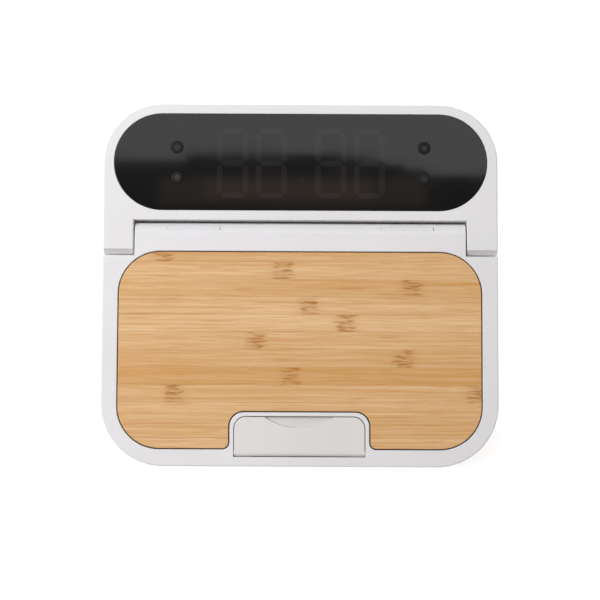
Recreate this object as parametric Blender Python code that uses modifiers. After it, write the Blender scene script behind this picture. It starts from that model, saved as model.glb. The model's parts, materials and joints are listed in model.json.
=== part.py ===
"""A kitchen scale: a low base with a bamboo weighing platform, a display head that tilts up on
friction hinges along the rear edge, and a top-side door over two AAA cells.

+X is to the user's right, +Y away from the user and +Z up. The origin is the centre of the
footprint, on the surface that the feet stand on. Every size is in metres.
"""

import math

import bmesh
import bpy
from mathutils import Vector

# Overall sizes
WIDTH = 0.2200
BASE_DEPTH = 0.1266  # front edge to the hinge's axis
HEAD_DEPTH = 0.0754  # hinge's axis to the rear edge
THICKNESS = 0.0180  # base and head, without feet
GROUND_CLEARANCE = 0.0015  # under the shells

# Walls
SIDE_WALL = 0.0022
SHOULDER_WALL = 0.0032
BASE_TOP_WALL = 0.0022
HEAD_TOP_WALL = 0.0032
COVER_THICKNESS = 0.0024

# Clearances
ASSEMBLY_GAP = 0.0003  # between pieces that touch on the real scale
SHAFT_CLEARANCE = 0.0001  # hinge shaft in its friction sleeve
KNUCKLE_GAP = 0.0007  # arm's end to the base's shoulder
SWING_GAP = 0.0004  # arm's corner to the shoulder's hollow as the head tilts
ARM_SIDE_GAP = 0.0006
HEAD_GAP = 0.0010  # barrel to the head's front wall
PLATFORM_GAP = 0.0005
DOOR_GAP = 0.0004
WINDOW_GAP = 0.0002

# Plan shape
BASE_CORNER_RADIUS = 0.0345
HEAD_CORNER_RADIUS = 0.0324
ARM_WIDTH = 0.0172
ARM_END_RADIUS = 0.0040
BARREL_ROUND_RADIUS = 0.0070

# Hinge
SHAFT_RADIUS = 0.0030
SHAFT_BORE_RADIUS = 0.0017
SHAFT_FLANGE_RADIUS = 0.0045
SHAFT_FLANGE_WIDTH = 0.0012
SHAFT_REACH = 0.0230  # into the barrel, from its end
SLEEVE_RADIUS = 0.0050
SLEEVE_LENGTH = 0.0160
SLEEVE_INSET = 0.0040  # barrel's end to the sleeve
ARM_BOSS_RADIUS = 0.0055
ARM_BOSS_LENGTH = 0.0050
BRACKET_WIDTH = 0.0120
BRACKET_REACH = 0.0190
BRACKET_THICKNESS = 0.0016
BRACKET_SCREW_REACH = 0.0145  # hinge's axis to the bracket's screw
SLOT_LENGTH = 0.0300
SLOT_WIDTH = 0.0030
SLOT_CUT_DEPTH = 0.0045
SLOT_FROM_END = 0.0327  # barrel's end to the slot's centre
SLOT_ANGLE = math.radians(31)  # of the barrel's slope, from level
SLOT_CAP_THICKNESS = 0.0015
SLOT_CAP_RECESS = 0.0002

# Platform
RIM_SIDE = 0.0089
RIM_FRONT = 0.0094
PLATFORM_REAR_FROM_AXIS = 0.0079
PLATFORM_THICKNESS = 0.0050
PLATFORM_PROUD = 0.0006
PLATFORM_CORNER_RADIUS = 0.0233
CARRIER_INSET = 0.0030
CARRIER_THICKNESS = 0.0025
PRESS_TRAVEL = 0.00025

# Battery bay and door
DOOR_WIDTH = 0.0720
DOOR_THICKNESS = 0.0016
DOOR_CORNER_RADIUS = 0.0063
DOOR_FROM_FRONT = 0.0057
DOOR_KNUCKLE_RADIUS = 0.0020
DOOR_PIN_RADIUS = 0.0013
DOOR_PIN_LENGTH = 0.0012
TAB_WALL = 0.0022
TAB_CORNER_RADIUS = 0.0078
TAB_MOUTH_RADIUS = 0.0033
SCOOP_CHORD = 0.0390
SCOOP_SAGITTA = 0.0061
SCOOP_DEPTH = 0.0020
SCOOP_WALL = 0.0010
BAY_FLOOR = 0.0010
CELL_RADIUS = 0.00525
CELL_LENGTH = 0.0445
CELL_NUB_RADIUS = 0.0019
CELL_NUB_LENGTH = 0.0009
CELL_SIDE_GAP = 0.00055
CONTACT_ROOM = 0.0095  # both ends together, for the contacts and the spring
CONTACT_THICKNESS = 0.0004
CONTACT_HEIGHT = 0.0085
CONTACT_WIDTH = 0.0088
SPRING_WIRE_RADIUS = 0.00035
SPRING_RADIUS = 0.0034
SPRING_TURNS = 4

# Load cell
LOAD_CELL_LENGTH = 0.0600
LOAD_CELL_WIDTH = 0.0127
LOAD_CELL_HEIGHT = 0.0055
LOAD_CELL_HOLE_RADIUS = 0.0017
LOAD_CELL_HOLE_SPACING = 0.0120
LOAD_CELL_END_LENGTH = 0.0190  # clamped length at each end
BASE_SPACER_HEIGHT = 0.0008

# Fasteners
SCREW_RADIUS = 0.00125
SCREW_LENGTH = 0.0070
SCREW_HEAD_RADIUS = 0.0023
SCREW_HEAD_HEIGHT = 0.0010
SOCKET_RADIUS = 0.0009
SOCKET_DEPTH = 0.0006
SCREW_BOSS_RADIUS = 0.0030
SCREW_EDGE_DISTANCE = 0.0053
BASE_FRONT_SCREW_X = 0.0580
BASE_SIDE_SCREW_FROM_SHOULDER = 0.0220
HEAD_REAR_SCREW_X = 0.0500
HEAD_FRONT_SCREW_FROM_SIDE = 0.0250

# Feet
FOOT_RADIUS = 0.0060
FOOT_POCKET = 0.0006
BASE_FOOT_FROM_SIDE = 0.0220
BASE_FOOT_FROM_FRONT = 0.0220
BASE_FOOT_FROM_SHOULDER = 0.0140
HEAD_FOOT_FROM_SIDE = 0.0260
HEAD_FOOT_FROM_REAR = 0.0150

# Display
WINDOW_SIDE_MARGIN = 0.0058
WINDOW_REAR_MARGIN = 0.0055
WINDOW_FRONT_MARGIN = 0.0055
WINDOW_THICKNESS = 0.0016
WINDOW_RECESS = 0.0001
WINDOW_LEDGE = 0.0030
BUTTON_X = 0.0690
BUTTON_SPACING = 0.0171
BUTTON_OFFSET = 0.00035  # from the window's centre line, towards the user
BUTTON_RADIUS = 0.0033
BUTTON_PROUD = 0.0004
BUTTON_FLANGE_RADIUS = 0.0043
BUTTON_FLANGE_HEIGHT = 0.0012
BUTTON_TRAVEL = 0.0005
BOARD_THICKNESS = 0.0016
DISPLAY_BOARD_LENGTH = 0.1600
DISPLAY_BOARD_MARGIN = 0.0020  # to the window's opening, front and rear
MODULE_LENGTH = 0.1260
MODULE_MARGIN = 0.0035  # to the window's opening, front and rear
MODULE_HEIGHT = 0.0062
MODULE_TO_WINDOW = 0.0006
SWITCH_SIDE = 0.0060
SWITCH_BODY_HEIGHT = 0.0022
SWITCH_STEM_RADIUS = 0.0017
POST_RADIUS = 0.0024
POST_EDGE_DISTANCE = 0.0045

# Base electronics
MAIN_BOARD_LENGTH = 0.0560
MAIN_BOARD_DEPTH = 0.0320
MAIN_BOARD_CLEARANCE = 0.0018  # over the bottom cover
MAIN_BOARD_FROM_WALL = 0.0270
MAIN_BOARD_FROM_AXIS = 0.0216
CABLE_RADIUS = 0.0012
SENSOR_LEAD_RADIUS = 0.0009
PLUG_LENGTH = 0.0080
PLUG_SIDE = 0.0050
PLUG_TO_SHAFT = 0.0150
CABLE_TO_BOARD = 0.0010

# Smoothness
CHORD_ERROR = 0.00016  # how far a facet may stand from the true round shape
RUNNING_CHORD_ERROR = 0.00004  # the same on a shaft and its sleeve
SCOOP_STEPS = 16
WIRE_STEP = 0.0040
SPRING_POINTS_PER_TURN = 7
CUT_MARGIN = 0.0010  # how far a cutter runs past what it cuts

# Places that follow from the sizes
BOTTOM = GROUND_CLEARANCE
TOP = BOTTOM + THICKNESS
AXIS_Z = BOTTOM + THICKNESS / 2
FRONT = -(BASE_DEPTH + HEAD_DEPTH) / 2
REAR = FRONT + BASE_DEPTH + HEAD_DEPTH
AXIS_Y = FRONT + BASE_DEPTH
SIDE = WIDTH / 2
KNUCKLE_RADIUS = THICKNESS / 2  # hinge's axis to the arms' ends and the barrel's rear
ARM_SWING_RADIUS = math.hypot(*[KNUCKLE_RADIUS - ARM_END_RADIUS] * 2) + ARM_END_RADIUS
SHOULDER_Y = AXIS_Y - KNUCKLE_RADIUS - KNUCKLE_GAP
HEAD_FRONT_Y = AXIS_Y + KNUCKLE_RADIUS + HEAD_GAP
ARM_INNER_X = SIDE - ARM_WIDTH
BARREL_END_X = ARM_INNER_X - ARM_SIDE_GAP
BARREL_BORE_RADIUS = KNUCKLE_RADIUS - SIDE_WALL
COVER_TOP = BOTTOM + COVER_THICKNESS
PLATFORM_X = SIDE - RIM_SIDE - PLATFORM_GAP
PLATFORM_FRONT_Y = FRONT + RIM_FRONT + PLATFORM_GAP
PLATFORM_REAR_Y = AXIS_Y - PLATFORM_REAR_FROM_AXIS
PLATFORM_Y = (PLATFORM_FRONT_Y + PLATFORM_REAR_Y) / 2
PLATFORM_TOP = TOP + PLATFORM_PROUD
PLATFORM_BOTTOM = PLATFORM_TOP - PLATFORM_THICKNESS
CARRIER_TOP = PLATFORM_BOTTOM - ASSEMBLY_GAP
CARRIER_BOTTOM = CARRIER_TOP - CARRIER_THICKNESS
CELL_SPACING = 2 * CELL_RADIUS + ASSEMBLY_GAP
BAY_LENGTH = CELL_LENGTH + CONTACT_ROOM
DOOR_DEPTH = CELL_SPACING + 2 * (CELL_RADIUS + CELL_SIDE_GAP - DOOR_GAP)
DOOR_FRONT_Y = FRONT + DOOR_FROM_FRONT
DOOR_REAR_Y = DOOR_FRONT_Y + DOOR_DEPTH
DOOR_PIVOT_Y = DOOR_FRONT_Y + DOOR_KNUCKLE_RADIUS
DOOR_PIVOT_Z = TOP - DOOR_KNUCKLE_RADIUS
BAY_X = DOOR_WIDTH / 2 + DOOR_GAP
BAY_REAR_Y = DOOR_REAR_Y + DOOR_GAP
BAY_FRONT_Y = DOOR_FRONT_Y - DOOR_GAP
BAY_Y = (BAY_REAR_Y + BAY_FRONT_Y) / 2
TAB_X = BAY_X + TAB_WALL
TAB_REAR_Y = BAY_REAR_Y + TAB_WALL
NOTCH_X = TAB_X + PLATFORM_GAP
NOTCH_Y = TAB_REAR_Y + PLATFORM_GAP
BAY_BOTTOM = COVER_TOP + ASSEMBLY_GAP
CELL_Z = BAY_BOTTOM + BAY_FLOOR + ASSEMBLY_GAP + CELL_RADIUS
LOAD_CELL_BOTTOM = COVER_TOP + ASSEMBLY_GAP + BASE_SPACER_HEIGHT + ASSEMBLY_GAP
LOAD_CELL_TOP = LOAD_CELL_BOTTOM + LOAD_CELL_HEIGHT
LOAD_CELL_END_X = (LOAD_CELL_LENGTH - LOAD_CELL_END_LENGTH) / 2
WINDOW_X = SIDE - WINDOW_SIDE_MARGIN
WINDOW_DEPTH = REAR - WINDOW_REAR_MARGIN - HEAD_FRONT_Y - WINDOW_FRONT_MARGIN
WINDOW_Y = REAR - WINDOW_REAR_MARGIN - WINDOW_DEPTH / 2
DISPLAY_BOARD_DEPTH = WINDOW_DEPTH - 2 * (WINDOW_LEDGE + DISPLAY_BOARD_MARGIN)
MODULE_DEPTH = WINDOW_DEPTH - 2 * (WINDOW_LEDGE + MODULE_MARGIN)
WINDOW_TOP = TOP - WINDOW_RECESS
WINDOW_BOTTOM = WINDOW_TOP - WINDOW_THICKNESS
BUTTON_BOTTOM = WINDOW_BOTTOM - ASSEMBLY_GAP - BUTTON_FLANGE_HEIGHT
BUTTON_REAR_Y = WINDOW_Y - BUTTON_OFFSET + BUTTON_SPACING / 2
BUTTON_FRONT_Y = WINDOW_Y - BUTTON_OFFSET - BUTTON_SPACING / 2
MODULE_TOP = WINDOW_BOTTOM - MODULE_TO_WINDOW
MODULE_BOTTOM = MODULE_TOP - MODULE_HEIGHT
BOARD_TOP = MODULE_BOTTOM - ASSEMBLY_GAP
BOARD_BOTTOM = BOARD_TOP - BOARD_THICKNESS
MAIN_BOARD_X = SIDE - MAIN_BOARD_FROM_WALL - MAIN_BOARD_LENGTH / 2
MAIN_BOARD_Y = AXIS_Y - MAIN_BOARD_FROM_AXIS - MAIN_BOARD_DEPTH / 2
MAIN_BOARD_BOTTOM = COVER_TOP + MAIN_BOARD_CLEARANCE + ASSEMBLY_GAP
MAIN_BOARD_TOP = MAIN_BOARD_BOTTOM + BOARD_THICKNESS
BRACKET_X = BARREL_END_X - SLEEVE_INSET - SLEEVE_LENGTH / 2
BRACKET_BOTTOM = AXIS_Z - SLEEVE_RADIUS
BRACKET_SCREW_Y = AXIS_Y - BRACKET_SCREW_REACH
SHAFT_INNER_X = BARREL_END_X - SHAFT_REACH
SHAFT_OUTER_X = ARM_INNER_X + SIDE_WALL + ARM_BOSS_LENGTH + ASSEMBLY_GAP + SHAFT_FLANGE_WIDTH
SCREW_HOLE_RADIUS = SCREW_RADIUS + ASSEMBLY_GAP
COUNTERBORE_RADIUS = SCREW_HEAD_RADIUS + ASSEMBLY_GAP
COUNTERBORE_DEPTH = SCREW_HEAD_HEIGHT + ASSEMBLY_GAP

# Colours are linear; each finish is colour, roughness and metallic
FINISHES = {
    "white_abs": ((0.80, 0.79, 0.80), 0.42, 0.0),
    "grey_abs": ((0.55, 0.55, 0.56), 0.50, 0.0),
    "bamboo": ((0.66, 0.40, 0.19), 0.55, 0.0),
    "smoked_acrylic": ((0.012, 0.012, 0.013), 0.08, 0.0),
    "black_abs": ((0.03, 0.03, 0.03), 0.40, 0.0),
    "rubber": ((0.05, 0.05, 0.05), 0.80, 0.0),
    "aluminium": ((0.78, 0.79, 0.80), 0.35, 1.0),
    "steel": ((0.56, 0.57, 0.58), 0.30, 1.0),
    "circuit_board": ((0.02, 0.16, 0.07), 0.45, 0.0),
    "cell_wrap": ((0.10, 0.20, 0.42), 0.35, 0.0),
    "wire_jacket": ((0.35, 0.35, 0.36), 0.60, 0.0),
}


def clear_scene():
    """Removes whatever the scene holds."""
    for scene_object in list(bpy.data.objects):
        bpy.data.objects.remove(scene_object, do_unlink=True)


def new_collection(name, helper=False):
    """A collection in the scene; a helper's is left out of renders."""
    made = bpy.data.collections.new(name)
    bpy.context.scene.collection.children.link(made)
    made.hide_render = helper
    return made


clear_scene()
PARTS = new_collection("kitchen_scale")
CUTTERS = new_collection("cutters", helper=True)


def finish(name):
    """The Principled material of that finish, made once."""
    if name in bpy.data.materials:
        return bpy.data.materials[name]
    colour, roughness, metallic = FINISHES[name]
    material = bpy.data.materials.new(name)
    material.use_nodes = True
    shader = material.node_tree.nodes["Principled BSDF"]
    shader.inputs["Base Color"].default_value = (*colour, 1.0)
    shader.inputs["Roughness"].default_value = roughness
    shader.inputs["Metallic"].default_value = metallic
    return material


def place(name, mesh, material, location=(0, 0, 0), rotation=(0, 0, 0)):
    """Links a mesh as a part, or as a helper when it has no material."""
    made = bpy.data.objects.new(name, mesh)
    made.location = location
    made.rotation_euler = rotation
    if material:
        mesh.materials.clear()
        mesh.materials.append(finish(material))
        PARTS.objects.link(made)
    else:
        CUTTERS.objects.link(made)
        made.hide_render = True
        made.display_type = "WIRE"
    return made


def smooth(made, angle=math.radians(35)):
    """Shades the round faces smooth and keeps the edges sharper than the angle."""
    made.data.shade_smooth()
    made.data.set_sharp_from_angle(angle=angle)
    return made


def mesh_from(builder, name):
    """A mesh from a bmesh, which is freed."""
    mesh = bpy.data.meshes.new(name)
    builder.to_mesh(mesh)
    builder.free()
    return mesh


def box(name, low, high, material=None):
    """A block between two corners."""
    low, high = Vector(low), Vector(high)
    builder = bmesh.new()
    bmesh.ops.create_cube(builder, size=1)
    bmesh.ops.scale(builder, vec=high - low, verts=builder.verts)
    return place(name, mesh_from(builder, name), material, (low + high) / 2)


ALONG = {"X": (0, math.pi / 2, 0), "Y": (-math.pi / 2, 0, 0), "Z": (0, 0, 0)}


def facets(radius, turn=math.tau, error=CHORD_ERROR):
    """How many straight facets stand in for an arc of that radius and turn."""
    each = 2 * math.acos(1 - error / radius)
    return max(2, math.ceil(abs(turn) / each))


def round_facets(radius, error=CHORD_ERROR):
    """The same for a full circle, in fours so that its quarter points are corners."""
    return 4 * facets(radius, math.pi / 2, error)


def rod(name, centre, radius, length, along="Z", material=None, error=CHORD_ERROR):
    """A cylinder centred on a point."""
    builder = bmesh.new()
    bmesh.ops.create_cone(
        builder,
        cap_ends=True,
        segments=round_facets(radius, error),
        radius1=radius,
        radius2=radius,
        depth=length,
    )
    made = place(name, mesh_from(builder, name), material, centre, ALONG[along])
    return smooth(made)


def rounded(corners):
    """The points of a closed outline from its corners (x, y, radius), round ones as arcs."""
    points = []
    for index, (x, y, radius) in enumerate(corners):
        corner = Vector((x, y))
        if not radius:
            points.append(corner)
            continue
        before = (Vector(corners[index - 1][:2]) - corner).normalized()
        after = (Vector(corners[(index + 1) % len(corners)][:2]) - corner).normalized()
        half_angle = before.angle(after) / 2
        centre = corner + (before + after).normalized() * radius / math.sin(half_angle)
        start = corner + before * radius / math.tan(half_angle) - centre
        end = corner + after * radius / math.tan(half_angle) - centre
        turn = math.atan2(start.cross(end), start.dot(end))
        first = math.atan2(start.y, start.x)
        steps = facets(radius, turn)
        for step in range(steps + 1):
            angle = first + turn * step / steps
            points.append(centre + radius * Vector((math.cos(angle), math.sin(angle))))
    tidy = [p for n, p in enumerate(points) if (p - points[n - 1]).length > 1e-7]
    return tidy


def prism(name, corners, low, high, along="Z", material=None):
    """A flat outline with a thickness: in X and Y along Z, or in Y and Z along X."""
    points = rounded(corners)
    curve = bpy.data.curves.new(name, "CURVE")
    curve.dimensions = "2D"
    curve.fill_mode = "BOTH"
    curve.extrude = (high - low) / 2
    spline = curve.splines.new("POLY")
    spline.points.add(len(points) - 1)
    for point, target in zip(points, spline.points):
        target.co = (point.x, point.y, 0, 1)
    spline.use_cyclic_u = True
    middle = (low + high) / 2
    upright = along == "X"
    outline = place(
        name + "_outline",
        curve,
        None,
        (middle, 0, 0) if upright else (0, 0, middle),
        (math.pi / 2, 0, math.pi / 2) if upright else (0, 0, 0),
    )
    bpy.context.view_layer.update()
    graph = bpy.context.evaluated_depsgraph_get()
    mesh = bpy.data.meshes.new_from_object(outline.evaluated_get(graph))
    builder = bmesh.new()
    builder.from_mesh(mesh)
    bmesh.ops.remove_doubles(builder, verts=builder.verts, dist=1e-7)
    bmesh.ops.recalc_face_normals(builder, faces=builder.faces)
    builder.to_mesh(mesh)
    builder.free()
    made = place(name, mesh, material)
    made.matrix_world = outline.matrix_world
    bpy.data.objects.remove(outline)
    return smooth(made)


def turned(name, profile, material, location, rotation=(0, 0, 0), running=False):
    """A shape turned round its own Z axis, from a profile (radius, height), top to bottom.

    A running piece, a shaft or a sleeve, is hollow and finer: its profile closes on itself.
    """
    builder = bmesh.new()
    verts = [builder.verts.new((radius, 0, height)) for radius, height in profile]
    pairs = list(zip(verts, verts[1:])) + ([(verts[-1], verts[0])] if running else [])
    for pair in pairs:
        builder.edges.new(pair)
    made = place(name, mesh_from(builder, name), material, location, rotation)
    screw = made.modifiers.new("turn", "SCREW")
    screw.axis = "Z"
    error = RUNNING_CHORD_ERROR if running else CHORD_ERROR
    widest = max(radius for radius, _ in profile)
    screw.steps = screw.render_steps = round_facets(widest, error)
    screw.use_merge_vertices = True
    screw.merge_threshold = 1e-6
    screw.use_smooth_shade = True
    return made


def wire(name, route, radius, material):
    """A round wire on a POLY spline, whose points lie on a smooth curve through the route."""
    curve = bpy.data.curves.new(name, "CURVE")
    curve.dimensions = "3D"
    curve.bevel_depth = radius
    curve.bevel_resolution = 2
    curve.use_fill_caps = True
    points = smooth_route([Vector(point) for point in route])
    spline = curve.splines.new("POLY")
    spline.points.add(len(points) - 1)
    for point, target in zip(points, spline.points):
        target.co = (*point, 1)
    return place(name, curve, material)


def smooth_route(route):
    """Points along a Catmull-Rom curve through the route, about a step apart."""
    ends = [2 * route[0] - route[1], *route, 2 * route[-1] - route[-2]]
    points = []
    for before, start, end, after in zip(ends, ends[1:], ends[2:], ends[3:]):
        count = max(1, round((end - start).length / WIRE_STEP))
        for step in range(count):
            t = step / count
            pull = (end - before) * t + (2 * before - 5 * start + 4 * end - after) * t**2
            pull += (3 * start - before - 3 * end + after) * t**3
            points.append(start + pull / 2)
    return [*points, route[-1]]


def combine(made, helper, operation):
    """Adds a Boolean that stays live on the part."""
    boolean = made.modifiers.new(helper.name, "BOOLEAN")
    boolean.operation = operation
    boolean.solver = "EXACT"
    boolean.object = helper


def cut(made, *helpers):
    for helper in helpers:
        combine(made, helper, "DIFFERENCE")


def join(made, *helpers):
    for helper in helpers:
        combine(made, helper, "UNION")


def pivot(name, location, parts):
    """An empty on a joint's axis, which the moving parts hang from without moving."""
    empty = bpy.data.objects.new(name, None)
    empty.empty_display_size = 0.01
    empty.location = location
    PARTS.objects.link(empty)
    bpy.context.view_layer.update()
    for part in parts:
        part.parent = empty
        part.matrix_parent_inverse = empty.matrix_world.inverted()


SIDES = (("left", -1), ("right", 1))


def span(sign, near, far):
    """The low and high X of a stretch that is given outwards from the middle."""
    return min(sign * near, sign * far), max(sign * near, sign * far)


# Outlines that several pieces share


def base_outline(inset=0.0):
    """Plan of the base up to its shoulders."""
    side, front = SIDE - inset, FRONT + inset
    radius = BASE_CORNER_RADIUS - inset
    return [
        (-side, front, radius),
        (side, front, radius),
        (side, SHOULDER_Y - inset, 0),
        (-side, SHOULDER_Y - inset, 0),
    ]


def base_cavity_outline(gap=0.0):
    """Plan of the base's inside, which reaches back into the barrel between the arms."""
    inset = SIDE_WALL + gap
    side, front = SIDE - inset, FRONT + inset
    shoulder, barrel = SHOULDER_Y - SHOULDER_WALL - gap, BARREL_END_X - inset
    rear = AXIS_Y - SIDE_WALL - gap
    radius = BASE_CORNER_RADIUS - inset
    return [
        (-side, front, radius),
        (side, front, radius),
        (side, shoulder, 0),
        (barrel, shoulder, 0),
        (barrel, rear, 0),
        (-barrel, rear, 0),
        (-barrel, shoulder, 0),
        (-side, shoulder, 0),
    ]


def platform_outline(grow=0.0):
    """Plan of the platform with its notch round the battery tab, grown by an offset."""
    side, front, rear = PLATFORM_X + grow, PLATFORM_FRONT_Y - grow, PLATFORM_REAR_Y + grow
    notch, deep = NOTCH_X - grow, NOTCH_Y - grow
    corner = PLATFORM_CORNER_RADIUS + grow
    mouth = TAB_MOUTH_RADIUS + grow
    inner = TAB_CORNER_RADIUS + PLATFORM_GAP - grow
    return [
        (-side, rear, corner),
        (-side, front, corner),
        (-notch, front, mouth),
        (-notch, deep, inner),
        (notch, deep, inner),
        (notch, front, mouth),
        (side, front, corner),
        (side, rear, corner),
    ]


def door_outline(grow=0.0):
    """Plan of the door behind its hinge line, grown by an offset."""
    side, rear = DOOR_WIDTH / 2 + grow, DOOR_REAR_Y + grow
    radius = DOOR_CORNER_RADIUS + grow
    return [
        (-side, DOOR_PIVOT_Y - grow, 0),
        (side, DOOR_PIVOT_Y - grow, 0),
        (side, rear, radius),
        (-side, rear, radius),
    ]


def head_cavity_outline(gap=0.0):
    """Plan of the head's inside with both arms."""
    inset = SIDE_WALL + gap
    side, rear, front = SIDE - inset, REAR - inset, HEAD_FRONT_Y + inset
    arm, end = ARM_INNER_X + inset, AXIS_Y + gap
    radius = HEAD_CORNER_RADIUS - inset
    return [
        (-side, end, 0),
        (-arm, end, 0),
        (-arm, front, 0),
        (arm, front, 0),
        (arm, end, 0),
        (side, end, 0),
        (side, rear, radius),
        (-side, rear, radius),
    ]


def window_outline(grow=0.0):
    """Plan of the display window, a bar with fully round ends, grown by an offset."""
    side, half = WINDOW_X + grow, WINDOW_DEPTH / 2 + grow
    return [
        (-side, WINDOW_Y - half, half),
        (side, WINDOW_Y - half, half),
        (side, WINDOW_Y + half, half),
        (-side, WINDOW_Y + half, half),
    ]


def side_profile(end, joined, radius):
    """Side view of a full-thickness piece whose end is round-cornered and whose other end is joined on."""
    corners = [(end, BOTTOM, radius), (joined, BOTTOM, 0), (joined, TOP, 0), (end, TOP, radius)]
    return corners if end < joined else corners[::-1]


# Places of repeated pieces


def base_screw_places():
    side = SIDE - SCREW_EDGE_DISTANCE
    rear = SHOULDER_Y - BASE_SIDE_SCREW_FROM_SHOULDER
    front = FRONT + SCREW_EDGE_DISTANCE
    return [
        (-BASE_FRONT_SCREW_X, front),
        (BASE_FRONT_SCREW_X, front),
        (-side, rear),
        (side, rear),
    ]


def head_screw_places():
    rear = REAR - SCREW_EDGE_DISTANCE
    front = HEAD_FRONT_Y + SCREW_EDGE_DISTANCE
    side = SIDE - HEAD_FRONT_SCREW_FROM_SIDE
    return [(-HEAD_REAR_SCREW_X, rear), (HEAD_REAR_SCREW_X, rear), (-side, front), (side, front)]


def base_foot_places():
    side = SIDE - BASE_FOOT_FROM_SIDE
    front, rear = FRONT + BASE_FOOT_FROM_FRONT, SHOULDER_Y - BASE_FOOT_FROM_SHOULDER
    return {
        "front_left": (-side, front),
        "front_right": (side, front),
        "rear_left": (-side, rear),
        "rear_right": (side, rear),
    }


def head_foot_places():
    side, rear = SIDE - HEAD_FOOT_FROM_SIDE, REAR - HEAD_FOOT_FROM_REAR
    return {"left": (-side, rear), "right": (side, rear)}


def load_cell_screw_places(sign):
    """Two screws across the clamped end on that side."""
    offset = LOAD_CELL_END_LENGTH / 4
    centre = sign * LOAD_CELL_END_X
    return [(centre - offset, PLATFORM_Y), (centre + offset, PLATFORM_Y)]


def display_post_places():
    x = DISPLAY_BOARD_LENGTH / 2 - POST_EDGE_DISTANCE
    y = DISPLAY_BOARD_DEPTH / 2 - POST_EDGE_DISTANCE
    return [(sx * x, WINDOW_Y + sy * y) for sx in (-1, 1) for sy in (-1, 1)]


def main_board_post_places():
    x = MAIN_BOARD_LENGTH / 2 - POST_EDGE_DISTANCE
    y = MAIN_BOARD_DEPTH / 2 - POST_EDGE_DISTANCE
    return [(MAIN_BOARD_X + sx * x, MAIN_BOARD_Y + sy * y) for sx in (-1, 1) for sy in (-1, 1)]


def button_places():
    return {
        "power_button": (-BUTTON_X, BUTTON_REAR_Y),
        "tare_button": (-BUTTON_X, BUTTON_FRONT_Y),
        "unit_button": (BUTTON_X, BUTTON_REAR_Y),
        "timer_button": (BUTTON_X, BUTTON_FRONT_Y),
    }


def screw_holes(made, places, cover_bottom):
    """Through holes with counterbores for screw heads, from below."""
    for number, (x, y) in enumerate(places, 1):
        low, high = cover_bottom - CUT_MARGIN, cover_bottom + COUNTERBORE_DEPTH
        sink = rod(
            f"{made.name}_counterbore_{number}",
            (x, y, (low + high) / 2),
            COUNTERBORE_RADIUS,
            high - low,
        )
        hole = rod(f"{made.name}_hole_{number}", (x, y, high), SCREW_HOLE_RADIUS, 2 * THICKNESS)
        cut(made, hole, sink)


def screw_bosses(made, places, low, high):
    """Bosses that hang from a shell's top wall, each with a blind hole for its screw."""
    for number, (x, y) in enumerate(places, 1):
        boss = rod(
            f"{made.name}_boss_{number}", (x, y, (low + high) / 2), SCREW_BOSS_RADIUS, high - low
        )
        join(made, boss)
    for number, (x, y) in enumerate(places, 1):
        depth = SCREW_LENGTH + ASSEMBLY_GAP
        hole = rod(
            f"{made.name}_boss_hole_{number}",
            (x, y, low + (depth - CUT_MARGIN) / 2),
            SCREW_HOLE_RADIUS,
            depth + CUT_MARGIN,
        )
        cut(made, hole)


def machine_screw(name, x, y, seat, pointing_up):
    """A pan-head screw whose head bears on a seat, shank up from it or down from it."""
    profile = [
        (0, SCREW_LENGTH),
        (SCREW_RADIUS, SCREW_LENGTH),
        (SCREW_RADIUS, 0),
        (SCREW_HEAD_RADIUS, 0),
        (SCREW_HEAD_RADIUS, -SCREW_HEAD_HEIGHT),
        (SOCKET_RADIUS, -SCREW_HEAD_HEIGHT),
        (SOCKET_RADIUS, SOCKET_DEPTH - SCREW_HEAD_HEIGHT),
        (0, SOCKET_DEPTH - SCREW_HEAD_HEIGHT),
    ]
    turn = (0, 0, 0) if pointing_up else (math.pi, 0, 0)
    return turned(name, profile, "steel", (x, y, seat), turn)


# Base


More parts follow.
